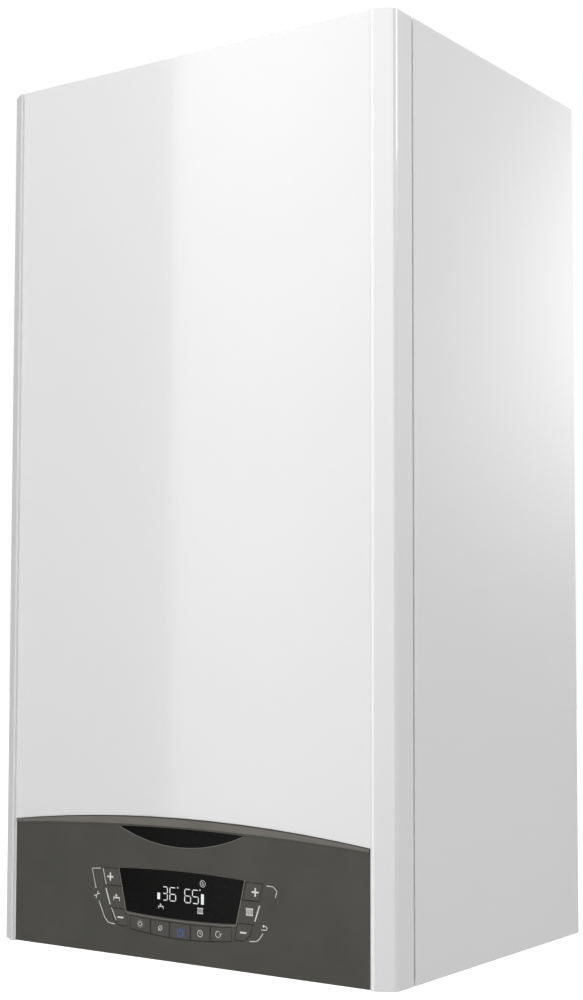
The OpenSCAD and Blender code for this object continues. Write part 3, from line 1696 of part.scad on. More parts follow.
module condensate_trap() {
    cup_top = trap_top - trap_neck;
    neck_r = drain_stub_r + trap_wall - cut;
    color("ghostwhite") difference() {
        union() {
            bar_z(-trap_x, -trap_y, trap_foot, trap_r, cup_top - trap_foot);
            bar_z(-trap_x, -trap_y, cup_top - trap_rim[1], trap_r + trap_rim[0], trap_rim[1]);
            bar_z(-trap_x, -trap_y, trap_foot, neck_r, trap_top - trap_foot);
            bar_z(-trap_x, -trap_y, tail_foot, drain_r, trap_foot - tail_foot + cut);
            box([flow_x + group_half - trap_lug_reach[2], -trap_y + trap_r - trap_lug_reach[1], trap_lug_z],
                [-trap_x - trap_lug_reach[0], -group_front - gap, trap_lug_z + trap_lug_h]);
        }
        trap_bore(trap_foot + trap_wall, trap_r - trap_wall, cup_top - trap_wall);
        trap_bore(cup_top - 2 * trap_wall, drain_stub_r - drain_wall, trap_top + cut);
        trap_bore(tail_foot - cut, drain_r - drain_wall, trap_foot + 2 * trap_wall);
    }
}

// A round hollow on the trap's axis between two heights
module trap_bore(low, r, high) {
    bar_z(-trap_x, -trap_y, low, r, high - low);
}

module condensate_hose() {
    turn_z = chamber_floor + hose_drop;
    points = [
        [-trap_x, drain_y, stub_z - gap], [-trap_x, drain_y, turn_z], [-trap_x, -trap_y, turn_z],
        [-trap_x, -trap_y, trap_top + gap]
    ];
    color("gray") pipe(points, drain_stub_r, drain_wall, hose_bend);
}

rear_frame();
side_panel_left();
side_panel_right();
top_panel();
front_cover();
bottom_rail();
frame_screws();
cover_screws();
chamber_box();
chamber_cover();
chamber_seal();
control_fascia();
badge_plate();
display_window();
display_module();
key_dhw_plus();
key_dhw_minus();
key_heat_plus();
key_heat_minus();
key_mode();
key_comfort();
key_power();
key_auto();
key_reset();
display_board();
control_tray();
main_board();
hinge_pins();
heat_exchanger();
exchanger_coil();
burner();
burner_door();
electrodes();
fan_housing();
fan_impeller();
fan_motor();
mixer();
air_silencer();
mixture_duct();
flue_duct();
flue_collar();
flue_socket();
gas_valve();
gas_pipe();
gas_feed_pipe();
expansion_vessel();
vessel_pipe();
flow_group();
return_group();
pump_motor();
pump_impeller();
plate_heat_exchanger();
diverter_motor();
diverter_spindle();
safety_knob();
filling_handle();
flow_pipe();
return_pipe();
condensate_trap();
condensate_hose();
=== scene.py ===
"""Looks of a wall-hung condensing boiler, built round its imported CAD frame."""

import bisect
import json
import logging
import math
from collections.abc import Callable, Iterable, Sequence
from dataclasses import dataclass, field
from enum import Enum
from functools import cache

import bmesh
import bpy
from mathutils import Matrix, Vector


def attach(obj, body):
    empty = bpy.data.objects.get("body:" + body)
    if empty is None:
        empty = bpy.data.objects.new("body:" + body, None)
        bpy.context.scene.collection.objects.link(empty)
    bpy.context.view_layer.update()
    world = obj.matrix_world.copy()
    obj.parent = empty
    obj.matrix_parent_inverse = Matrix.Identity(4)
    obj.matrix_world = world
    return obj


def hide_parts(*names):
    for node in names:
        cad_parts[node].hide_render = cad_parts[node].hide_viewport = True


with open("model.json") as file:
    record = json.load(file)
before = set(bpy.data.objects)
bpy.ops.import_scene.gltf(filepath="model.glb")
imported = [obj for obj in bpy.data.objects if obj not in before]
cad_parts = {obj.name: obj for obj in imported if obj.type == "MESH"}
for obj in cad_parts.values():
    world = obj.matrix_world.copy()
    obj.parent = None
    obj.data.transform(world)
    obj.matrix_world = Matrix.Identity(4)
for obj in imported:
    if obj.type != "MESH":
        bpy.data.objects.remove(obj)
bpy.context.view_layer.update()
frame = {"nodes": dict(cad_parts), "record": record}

MM = 0.001
LOG = logging.getLogger("boiler")
Point = tuple[float, ...]
Path = Sequence[Point]
Colour = tuple[float, float, float]
Place = tuple[float, float, float]
Piece = bpy.types.Object
Socket = bpy.types.NodeSocket
Inputs = dict[str | int, object]

FORWARD, BACK, UP = (0, -1, 0), (0, 1, 0), (0, 0, 1)
EDGE_ANGLE = math.radians(35)
FLAT_ANGLE = math.radians(0.4)
PRINT_ANGLE = 60
ONE_CORNER, ONE_POINT = 1e-5, 1e-6
BOX_EDGE, BOX_STEP = 0.6, 0.3
MIDDLE = (0.3, 0.7)
WHOLE = (0, 1)

BODY_OF = {node: body for body, nodes in frame["record"]["behaviour"]["bodies"].items() for node in nodes}


def linear(red: int, green: int, blue: int) -> Colour:
    """Turns an 8-bit screen colour into the linear one that shaders take."""
    parts = (red / 255, green / 255, blue / 255)
    return tuple(c / 12.92 if c <= 0.04045 else ((c + 0.055) / 1.055) ** 2.4 for c in parts)


# ---- Finishes


def feed(tree: bpy.types.NodeTree, node: bpy.types.Node, inputs: Inputs) -> None:
    """Sets or links a node's inputs.

    Args:
        tree: The node tree.
        node: The node.
        inputs: A plain value or a socket for each input's name or number.
    """
    for key, value in inputs.items():
        if isinstance(value, Socket):
            tree.links.new(value, node.inputs[key])
        else:
            node.inputs[key].default_value = value


def add_node(tree: bpy.types.NodeTree, kind: str, inputs: Inputs, **settings: object) -> bpy.types.Node:
    """Adds a shader node.

    Args:
        tree: The node tree.
        kind: The node's type, without the word ShaderNode.
        inputs: A plain value or a socket for each input's name or number.
        settings: The node's own properties.

    Returns:
        The node.
    """
    node = tree.nodes.new("ShaderNode" + kind)
    for key, value in settings.items():
        setattr(node, key, value)
    feed(tree, node, inputs)
    return node


class Graph:
    """Node tree of one material, with short calls for the nodes that the finishes share."""

    def __init__(self, name: str) -> None:
        """Starts a material with a principled shader and Object coordinates.

        Args:
            name: The material's name.
        """
        self.material = bpy.data.materials.new(name)
        self.material.use_nodes = True
        self.tree = self.material.node_tree
        self.tree.nodes.clear()
        self.shader = add_node(self.tree, "BsdfPrincipled", {})
        add_node(self.tree, "OutputMaterial", {0: self.shader.outputs[0]})
        self.place = add_node(self.tree, "TexCoord", {}).outputs["Object"]

    def wear(self, **inputs: object) -> None:
        """Sets or links the shader's inputs, with _ for a blank in their names."""
        feed(self.tree, self.shader, {key.replace("_", " "): value for key, value in inputs.items()})

    def noise(self, scale: float, detail: float = 3.0, place: Socket | None = None) -> Socket:
        """Gives noise of so many cells a metre and finer octaves, on Object coordinates or those given."""
        inputs = {"Scale": scale, "Detail": detail, "Vector": place or self.place}
        return add_node(self.tree, "TexNoise", inputs).outputs[0]

    def cells(self, scale: float, socket: str = "Distance", feature: str = "F1") -> Socket:
        """Gives one output of a pattern of so many cells a metre."""
        inputs = {"Scale": scale, "Vector": self.place}
        return add_node(self.tree, "TexVoronoi", inputs, feature=feature).outputs[socket]

    def spread(self, value: Socket, to: Point, ends: Point = MIDDLE) -> Socket:
        """Maps a value from between its two ends to between two others."""
        limits = {"From Min": ends[0], "From Max": ends[1], "To Min": to[0], "To Max": to[1]}
        return add_node(self.tree, "MapRange", {"Value": value, **limits}).outputs[0]

    def bump(self, height: Socket, depth: float, strength: float = 1.0) -> None:
        """Raises the surface by a pattern: its socket, its height in mm and the share of the effect."""
        inputs = {"Strength": strength, "Distance": depth * MM, "Height": height}
        self.wear(Normal=add_node(self.tree, "Bump", inputs).outputs[0])


@dataclass(frozen=True)
class Finish:
    """A surface finish: its name, colour and roughness, and the slot of added pieces that wear it."""

    name: str
    colour: Colour
    rough: float = 0.4
    slot: str | None = field(default=None, kw_only=True)

    def draw(self, graph: Graph) -> None:
        """Draws the finish's pattern into a node tree; each kind of finish has its own."""
        raise NotImplementedError

    def tone(self, graph: Graph, pattern: Socket, shares: Point, ends: Point = MIDDLE) -> Socket:
        """Gives the finish's colour, made darker or lighter by a pattern.

        Args:
            graph: The node tree.
            pattern: What drives the tone.
            shares: The colour's share at each end.
            ends: The pattern's value at each end.

        Returns:
            The colour's socket.
        """
        node = add_node(graph.tree, "ValToRGB", {0: pattern})
        for stop, share, end in zip(node.color_ramp.elements, shares, ends):
            stop.position = end
            stop.color = (*(min(1.0, c * share) for c in self.colour), 1)
        return node.outputs[0]

    def sheen(self, graph: Graph, pattern: Socket, shares: Point, ends: Point = MIDDLE) -> Socket:
        """Gives the finish's roughness, changed by a pattern in the same way."""
        return graph.spread(pattern, (self.rough * shares[0], self.rough * shares[1]), ends)

    @cache
    def material(self) -> bpy.types.Material:
        """Gives the finish's material, made on its first use.

        Returns:
            The material.
        """
        graph = Graph("finish_" + self.name)
        self.draw(graph)
        return graph.material


@dataclass(frozen=True)
class Enamel(Finish):
    """Stove enamel on sheet steel: a slow drift of tone, uneven gloss and a faint orange peel."""

    peel: float = 0.004

    def draw(self, graph: Graph) -> None:
        """Draws the drift, the gloss and the peel.

        Args:
            graph: The material\'s node tree.
        """
        graph.wear(
            Base_Color=self.tone(graph, graph.noise(5), (0.985, 1)),
            Roughness=self.sheen(graph, graph.noise(12, 1), (0.95, 1.05), WHOLE),
            Coat_Weight=0.9,
            Coat_Roughness=0.06,
        )
        graph.bump(graph.noise(160, 1), self.peel, 0.5)


@dataclass(frozen=True)
class Moulded(Finish):
    """Moulded plastic with flow marks, speckled gloss and a fine eroded grain."""

    grain: float = 0.02
    scale: float = 1800
    gloss: float = 0.3

    def draw(self, graph: Graph) -> None:
        """Draws the marks, the gloss and the grain.

        Args:
            graph: The material\'s node tree.
        """
        graph.wear(
            Base_Color=self.tone(graph, graph.noise(25), (0.9, 1.08)),
            Roughness=self.sheen(graph, graph.noise(self.scale / 3), (0.8, 1.2)),
            Specular_IOR_Level=self.gloss,
        )
        graph.bump(graph.noise(self.scale, 2), self.grain)


@dataclass(frozen=True)
class Glossy(Finish):
    """Smooth dark front of a window or badge, barely cloudy and with dust-fine unevenness."""

    gloss: float = 0.08

    def draw(self, graph: Graph) -> None:
        """Draws the cloud, the dust and a slow wave.

        Args:
            graph: The material\'s node tree.
        """
        graph.wear(
            Base_Color=self.tone(graph, graph.noise(40), (0.8, 1.2)),
            Roughness=self.sheen(graph, graph.noise(300), (0.7, 1.3)),
            Specular_IOR_Level=self.gloss,
        )
        graph.bump(graph.noise(9, 1), 0.05, 0.3)


@dataclass(frozen=True)
class Metal(Finish):
    """Bare metal with drawn lines along one axis and dull patches."""

    stain: Colour = (0.3, 0.3, 0.3)
    lines: Place = (30, 30, 900)
    stained: float = 0.25
    relief: float = 0.01

    def draw(self, graph: Graph) -> None:
        """Draws the lines in gloss and relief, and the stains in colour.

        Args:
            graph: The material\'s node tree.
        """
        drawn = add_node(graph.tree, "Mapping", {"Vector": graph.place, "Scale": self.lines}).outputs[0]
        line = graph.noise(1, 2, drawn)
        patch = graph.spread(graph.noise(28), (0, self.stained), (0.5, 0.75))
        layers = {"Factor": patch, 6: self.tone(graph, line, (0.85, 1.1)), 7: (*self.stain, 1)}
        graph.wear(
            Base_Color=add_node(graph.tree, "Mix", layers, data_type="RGBA").outputs[2],
            Roughness=self.sheen(graph, line, (0.75, 1.3)),
            Metallic=1.0,
        )
        graph.bump(line, self.relief, 0.5)


@dataclass(frozen=True)
class Galvanised(Finish):
    """Zinc coat whose crystals catch the light one by one, under a fine haze."""

    spangle: float = 130

    def draw(self, graph: Graph) -> None:
        """Draws one tone per crystal, and the haze.

        Args:
            graph: The material\'s node tree.
        """
        crystal = graph.cells(self.spangle, "Color")
        graph.wear(
            Base_Color=self.tone(graph, crystal, (0.87, 1.08), WHOLE),
            Roughness=self.sheen(graph, crystal, (0.75, 1.3), WHOLE),
            Metallic=0.85,
        )
        graph.bump(graph.noise(500, 2), 0.01, 0.5)


@dataclass(frozen=True)
class Cast(Finish):
    """Die-cast or sand-cast metal with a pebbled skin."""

    pebble: float = 0.08

    def draw(self, graph: Graph) -> None:
        """Draws the pebbles and the darker hollows between them.

        Args:
            graph: The material\'s node tree.
        """
        skin = graph.noise(260, 4)
        graph.wear(
            Base_Color=self.tone(graph, skin, (0.75, 1.1)),
            Roughness=self.sheen(graph, skin, (1.2, 0.8)),
            Metallic=0.9,
        )
        graph.bump(skin, self.pebble, 0.7)


@dataclass(frozen=True)
class Foam(Finish):
    """Closed-cell foam."""

    def draw(self, graph: Graph) -> None:
        """Draws the cells as pits.

        Args:
            graph: The material\'s node tree.
        """
        pit = graph.cells(900)
        graph.wear(
            Base_Color=self.tone(graph, pit, (0.6, 1.2), (0.1, 0.6)),
            Roughness=self.sheen(graph, pit, (1.1875, 1)),
        )
        graph.bump(pit, 0.25, 0.8)


@dataclass(frozen=True)
class Board(Finish):
    """Lacquered circuit board with copper tracks under the lacquer."""

    def draw(self, graph: Graph) -> None:
        """Draws the tracks as the borders of cells.

        Args:
            graph: The material\'s node tree.
        """
        edge = graph.cells(160, "Distance", "DISTANCE_TO_EDGE")
        graph.wear(
            Base_Color=self.tone(graph, edge, (2.2, 1), (0.02, 0.06)),
            Roughness=self.sheen(graph, graph.noise(200), (1, 1.8)),
            Coat_Weight=0.4,
        )
        graph.bump(edge, 0.05, 0.4)


@dataclass(frozen=True)
class Ink(Finish):
    """Screen-printed ink, a little uneven in cover; the same flat finish also serves for dark joint lines and
    for painted highlight lines along edges.
    """

    def draw(self, graph: Graph) -> None:
        """Draws the cover's mottling.

        Args:
            graph: The material\'s node tree.
        """
        cover = graph.noise(700)
        graph.wear(
            Base_Color=self.tone(graph, cover, (0.9, 1)), Roughness=self.sheen(graph, cover, (1.2, 0.8))
        )
        graph.bump(cover, 0.005, 0.5)


@dataclass(frozen=True)
class Lit(Finish):
    """Lit segments of a display."""

    power: float = 1.0

    def draw(self, graph: Graph) -> None:
        """Draws the segments' glow with a soft unevenness.

        Args:
            graph: The material\'s node tree.
        """
        glow = graph.noise(250)
        colour = self.tone(graph, glow, (0.9, 1))
        graph.wear(
            Base_Color=colour,
            Roughness=self.sheen(graph, glow, (1, 1.2)),
            Emission_Color=colour,
            Emission_Strength=self.power,
        )


@dataclass(frozen=True)
class Floor(Finish):
    """Pale floor paint that the camera sees as evenly lit as the studio's walls."""

    lift: float = 0.8

    def draw(self, graph: Graph) -> None:
        """Draws a rolled paint skin, and lifts it for the camera alone.

        Args:
            graph: The material\'s node tree.
        """
        skin = graph.noise(30)
        seen = add_node(graph.tree, "LightPath", {}).outputs["Is Camera Ray"]
        graph.wear(
            Base_Color=self.tone(graph, skin, (0.98, 1)),
            Roughness=self.sheen(graph, skin, (1, 1.1)),
            Emission_Color=(1, 1, 1, 1),
            Emission_Strength=graph.spread(seen, (0, self.lift), WHOLE),
        )
        graph.bump(skin, 0.2, 0.3)


class Palette:
    """All finishes of the boiler, by the thing that wears them."""

    floor = Floor("floor_paint", (0.9, 0.9, 0.9), 0.8)
    enamel = Enamel("white_enamel", (0.86, 0.86, 0.86), 0.24, slot="white_enamel")
    zinc_sheet = Galvanised("zinc_sheet", (0.62, 0.64, 0.66), 0.38, slot="galvanised_sheet")
    zinc_screw = Metal(
        "zinc_screw", (0.66, 0.67, 0.69), 0.3, (0.4, 0.38, 0.3), (400, 400, 400), slot="zinc_fasteners"
    )
    foam = Foam("foam_strip", (0.05, 0.05, 0.055), 0.8, slot="foam_seal")
    fascia = Moulded("fascia_plastic", linear(72, 71, 66), 0.4, 0.006)
    # painted highlight: a lighter copy of the fascia plastic for the raised band, which catches the light
    # from above
    band = Moulded("band_plastic", linear(112, 109, 103), 0.4, 0.006)
    badge = Glossy("badge_gloss", linear(7, 7, 6), 0.22)
    window = Glossy("window_gloss", linear(9, 9, 8), 0.22)
    # painted highlight: a pale line laid along edges and bevels where they catch the light
    edge_highlight = Ink("frame_ink", linear(120, 118, 112), 0.4)
    groove_line = Ink("groove_ink", linear(36, 35, 33), 0.5)
    key = Moulded("key_plastic", linear(76, 74, 70), 0.4, 0.008)
    white_ink = Ink("white_ink", linear(232, 232, 230), 0.45)
    blue_ink = Ink("blue_ink", linear(72, 104, 190), 0.4)
    lit = Lit("lit_segments", linear(238, 240, 242), 0.3, 0.25)
    lcd = Glossy("display_glass", linear(40, 52, 46), 0.2)
    board = Board("board_lacquer", (0.02, 0.13, 0.05), 0.25)
    grey = Moulded("grey_plastic", (0.23, 0.235, 0.24), 0.45, 0.02, slot="grey_plastic")
    steel = Metal("stainless", (0.63, 0.62, 0.6), 0.24, (0.4, 0.36, 0.3), slot="stainless")
    alloy = Cast("cast_alloy", (0.58, 0.58, 0.59), 0.42, slot="cast_aluminium")
    ceramic = Moulded("ceramic", (0.82, 0.8, 0.75), 0.3, 0.015)
    rotor = Moulded("rotor_plastic", (0.06, 0.06, 0.065), 0.4, 0.015)
    motor = Cast("motor_paint", (0.035, 0.036, 0.04), 0.45, 0.04, slot="motor_black")
    duct = Moulded("duct_plastic", (0.8, 0.8, 0.79), 0.35, 0.01, slot="flue_white")
    gas = Moulded("gas_pipe_paint", (0.75, 0.5, 0.04), 0.4, 0.01, slot="gas_yellow")
    vessel = Enamel("vessel_paint", (0.5, 0.03, 0.025), 0.32, 0.03)
    copper = Metal("copper", (0.72, 0.33, 0.18), 0.26, (0.25, 0.1, 0.06), (60, 60, 60), 0.5)
    brass = Metal(
        "brass", (0.66, 0.47, 0.2), 0.3, (0.35, 0.22, 0.1), (90, 90, 90), 0.35, 0.03, slot="brass_fittings"
    )
    spindle = Metal("spindle_steel", (0.6, 0.6, 0.6), 0.2, (0.4, 0.4, 0.4))
    red_knob = Moulded("red_knob", (0.55, 0.02, 0.02), 0.35, 0.015)
    blue_handle = Moulded("blue_handle", (0.02, 0.1, 0.5), 0.35, 0.015)
    coil_tape = Moulded("coil_tape", (0.55, 0.38, 0.06), 0.35, 0.02, 600)
    relay = Moulded("relay_case", (0.02, 0.02, 0.025), 0.3, 0.01)
    can_sleeve = Moulded("can_sleeve", (0.03, 0.07, 0.28), 0.3, 0.006)
    terminal = Moulded("terminal_block", (0.62, 0.63, 0.6), 0.4, 0.01)
    silicone = Moulded("silicone_boot", (0.12, 0.02, 0.015), 0.5, 0.02, 900)
    sight = Glossy("sight_glass", (0.03, 0.02, 0.012), 0.08)


# ---- Tools for shaping


def only(obj: Piece) -> None:
    """Selects one object alone and makes it active."""
    bpy.ops.object.select_all(action="DESELECT")
    obj.select_set(True)
    bpy.context.view_layer.objects.active = obj


def edit(obj: Piece, *steps: Callable[[], object]) -> None:
    """Runs operators in edit mode on all of an object's mesh.

    Args:
        obj: The object to shape.
        steps: Calls that run one operator each, in order.
    """
    only(obj)
    bpy.ops.object.mode_set(mode="EDIT")
    bpy.ops.mesh.select_all(action="SELECT")
    for step in steps:
        step()
    bpy.ops.object.mode_set(mode="OBJECT")


def pick(obj: Piece, wanted: Callable[[Vector, Vector], bool], kind: str = "FACE") -> None:
    """Selects faces or edges by their middle and their normal, in edit mode.

    Args:
        obj: The object in edit mode.
        wanted: Takes the middle and the normal (an edge gives its direction) and says whether to select.
        kind: FACE or EDGE.
    """
    bpy.ops.mesh.select_mode(type=kind)
    bpy.ops.mesh.select_all(action="DESELECT")
    mesh = bmesh.from_edit_mesh(obj.data)
    if kind == "FACE":
        for face in mesh.faces:
            face.select_set(wanted(face.calc_center_median(), face.normal))
    else:
        for edge in mesh.edges:
            first, last = (v.co for v in edge.verts)
            if wanted((first + last) / 2, (last - first).normalized()):
                edge.select_set(True)
    bmesh.update_edit_mesh(obj.data)


def modify(obj: Piece, kind: str, **settings: object) -> None:
    """Adds a modifier and applies it.

    Args:
        obj: The object.
        kind: The modifier's type.
        settings: Its properties.
    """
    only(obj)
    modifier = obj.modifiers.new(kind.lower(), kind)
    for key, value in settings.items():
        setattr(modifier, key, value)
    bpy.ops.object.modifier_apply(modifier=modifier.name)


def smooth(obj: Piece, angle: float = 32) -> None:
    """Shades an object smooth up to an angle, with flat faces left flat.

    Args:
        obj: The object.
        angle: The largest angle between smooth faces, in degrees.
    """
    only(obj)
    bpy.ops.object.shade_smooth_by_angle(angle=math.radians(angle))
    modify(obj, "WEIGHTED_NORMAL", keep_sharp=True, weight=100)


def rounded(obj: Piece, radius: float) -> None:
    """Rounds an object's sharp edges by a radius in mm."""
    limit = {"limit_method": "ANGLE", "angle_limit": EDGE_ANGLE, "harden_normals": False}
    modify(obj, "BEVEL", width=radius * MM, segments=2, **limit)


def seat(obj: Piece, finish: Finish, body: str, replaces: Sequence[str] = ()) -> Piece:
    """Finishes a piece: its material, body and the nodes it stands for.

    Args:
        obj: The shaped piece, with its place in its mesh.
        finish: What its surface is.
        body: The CAD body it rides on.
        replaces: CAD nodes that it stands for.

    Returns:
        The same piece.
    """
    obj.data.materials.clear()
    obj.data.materials.append(finish.material())
    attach(obj, body)
    if replaces:
        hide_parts(*replaces)
    LOG.info("%s: %d faces on %s", obj.name, len(obj.data.polygons), body)
    return obj


def dress(node: str, finish: Finish) -> None:
    """Gives a CAD node a finish and leaves its shape alone.

    Args:
        node: The CAD node.
        finish: What its surface is.
    """
    materials = frame["nodes"][node].data.materials
    materials.clear()
    materials.append(finish.material())
    LOG.info("%s: CAD node dressed", node)


def soften(node: str, finish: Finish, radius: float, shaping: Callable[[Piece], None] | None = None) -> Piece:
    """Builds a node's visible piece from its merged copy, with rounded edges.

    Args:
        node: The CAD node to stand for.
        finish: What its surface is.
        radius: Radius of the edges in mm.
        shaping: What shapes the copy before its edges are rounded.

    Returns:
        The new piece.
    """
    obj = bpy.data.objects.new(node + "_piece", frame["nodes"][node].data.copy())
    bpy.context.scene.collection.objects.link(obj)
    only(obj)
    bpy.ops.mesh.customdata_custom_splitnormals_clear()
    edit(
        obj,
        lambda: bpy.ops.mesh.remove_doubles(threshold=ONE_CORNER),
        lambda: bpy.ops.mesh.dissolve_limited(angle_limit=FLAT_ANGLE),
    )
    if shaping:
        shaping(obj)
    rounded(obj, radius)
    smooth(obj)
    return seat(obj, finish, BODY_OF[node], (node,))


def clad(rows: Iterable[tuple[str, Finish, float]]) -> None:
    """Finishes CAD nodes one by one.

    Args:
        rows: Each node, its finish, and the radius of its edges in mm or 0 to leave its shape alone.
    """
    for node, finish, radius in rows:
        if radius:
            soften(node, finish, radius)
        else:
            dress(node, finish)


def between(value: float, knots: Point, levels: Point) -> float:
    """Reads a line of straight stretches.

    Args:
        value: Where to read it.
        knots: Where its stretches meet, rising.
        levels: Its level at each.

    Returns:
        The level at the value.
    """
    last = max(1, min(bisect.bisect_left(knots, value), len(knots) - 1))
    share = (value - knots[last - 1]) / (knots[last] - knots[last - 1])
    return levels[last - 1] + min(max(share, 0), 1) * (levels[last] - levels[last - 1])


def begin(name: str, primitive: Callable[..., object], **settings: object) -> Piece:
    """Adds a primitive to start a piece from.

    Args:
        name: The piece's name.
        primitive: The operator that adds it.
        settings: Its sizes.

    Returns:
        The new object.
    """
    bpy.ops.object.select_all(action="DESELECT")
    primitive(**settings)
    obj = bpy.context.active_object
    obj.name = name
    return obj


def stand(obj: Piece, finish: Finish, at: Point, facing: Point, lift: float = 0) -> Piece:
    """Brings a piece from the origin to its place on the root.

    Args:
        obj: The piece, with its axis along +Z.
        finish: What its surface is.
        at: Where its axis starts, in mm.
        facing: Its axis's direction.
        lift: How far it first goes up its axis, in mm.

    Returns:
        The same piece.
    """
    turn = Vector(facing).to_track_quat("Z", "Y").to_matrix().to_4x4()
    obj.data.transform(Matrix.Translation(Vector(at) * MM) @ turn @ Matrix.Translation((0, 0, lift * MM)))
    smooth(obj)
    return seat(obj, finish, "root")


def turned(
    name: str, profile: Path, at: Point, facing: Point, finish: Finish, steps: int = 48
) -> Piece:
    """Turns a piece as on a lathe.

    Args:
        name: The piece's name.
        profile: Points (radius, distance along the axis) in mm.
        at: Where the axis starts, in mm.
        facing: The axis's direction.
        finish: What its surface is.
        steps: Faces round the axis.

    Returns:
        The piece.
    """
    obj = begin(name, bpy.ops.mesh.primitive_plane_add, size=MM)

    def spin() -> None:
        """Draws the profile from one point and spins it."""
        bpy.ops.mesh.select_mode(type="VERT")
        bpy.ops.mesh.merge(type="CENTER")
        bpy.ops.transform.translate(value=(profile[0][0] * MM, 0, profile[0][1] * MM))
        for (r0, d0), (r1, d1) in zip(profile, profile[1:]):
            move = ((r1 - r0) * MM, 0, (d1 - d0) * MM)
            bpy.ops.mesh.extrude_region_move(TRANSFORM_OT_translate={"value": move})
        bpy.ops.mesh.select_all(action="SELECT")
        bpy.ops.mesh.spin(steps=steps, angle=math.tau, center=(0, 0, 0), axis=(0, 0, 1))
        bpy.ops.mesh.select_all(action="SELECT")
        bpy.ops.mesh.remove_doubles(threshold=ONE_POINT)
        bpy.ops.mesh.normals_make_consistent(inside=False)

    edit(obj, spin)
    return stand(obj, finish, at, facing)


def hexed(name: str, across: float, high: float, at: Point, facing: Point, finish: Finish) -> Piece:
    """Makes a hexagon nut or bolt head with a turned crown at both ends.

    Args:
        name: The piece's name.
        across: Width across the flats in mm.
        high: Height in mm.
        at: Middle of its foot, in mm.
        facing: Its axis.
        finish: What its surface is.

    Returns:
        The piece.
    """
    corner, crown, dish = across / math.sqrt(3) * MM, high * 0.06 * MM, high * 0.08 * MM
    obj = begin(name, bpy.ops.mesh.primitive_cylinder_add, vertices=6, radius=corner, depth=high * MM)
    edit(
        obj,
        lambda: pick(obj, lambda middle, normal: abs(normal.z) > 0.9),
        lambda: bpy.ops.mesh.inset(thickness=across * 0.09 * MM, depth=crown),
        lambda: bpy.ops.mesh.inset(thickness=across * 0.12 * MM),
        lambda: bpy.ops.mesh.inset(thickness=across * 0.02 * MM, depth=-dish),
    )
    rounded(obj, min(0.35, high * 0.08))
    return stand(obj, finish, at, facing, high / 2)


def repeat(obj: Piece, moves: Iterable[Point]) -> None:
    """Copies a piece of the root, each copy with its own mesh.

    Args:
        obj: The piece to copy.
        moves: How far each copy stands from it, in mm.
    """
    for number, move in enumerate(moves, 2):
        twin = bpy.data.objects.new(f"{obj.name}_{number}", obj.data.copy())
        bpy.context.scene.collection.objects.link(twin)
        twin.data.transform(Matrix.Translation(Vector(move) * MM))
        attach(twin, "root")
        LOG.info("%s: copied on root", twin.name)


def boxed(
    name: str, low: Point, high: Point, face: Point, finish: Finish, inset: float, raised: float
) -> Piece:
    """Makes a moulded block whose one face carries a raised or sunk field.

    Args:
        name: The piece's name.
        low: Low corner in mm.
        high: High corner in mm.
        face: The way that the face with the field looks.
        finish: What its surface is.
        inset: Border round the field in mm.
        raised: Height of the field in mm, below 0 if it is sunk.

    Returns:
        The piece.
    """
    obj = begin(name, bpy.ops.mesh.primitive_cube_add, size=1)
    middle = [(a + b) / 2 * MM for a, b in zip(low, high)]
    size = [(b - a) * MM for a, b in zip(low, high)]
    obj.data.transform(Matrix.Translation(middle) @ Matrix.Diagonal((*size, 1)))
    edit(
        obj,
        lambda: pick(obj, lambda centre, normal: normal.dot(Vector(face)) > 0.9),
        lambda: bpy.ops.mesh.inset(thickness=inset * MM),
        lambda: bpy.ops.mesh.inset(thickness=BOX_STEP * MM, depth=raised * MM),
    )
    rounded(obj, BOX_EDGE)
    smooth(obj)
    return seat(obj, finish, "root")


def spaced(axis: Point, radius: float, angles: Iterable[float]) -> list[Point]:
    """Points round an axis, at angles in degrees from +X towards +Z."""
    turns = [math.radians(a) for a in angles]
    return [(axis[0] + radius * math.cos(a), axis[1] + radius * math.sin(a)) for a in turns]


def arc(centre: Point, radius: float, start: float, end: float, steps: int = 16) -> list[Point]:
    """Points along an arc, from one angle in degrees to another in so many steps."""
    return spaced(centre, radius, (start + (end - start) * i / steps for i in range(steps + 1)))


def moves_from_first(places: Path) -> list[Point]:
    """Moves from the first of some places (x, z) to each of the others."""
    return [(x - places[0][0], 0, z - places[0][1]) for x, z in places[1:]]


# ---- Prints and symbols


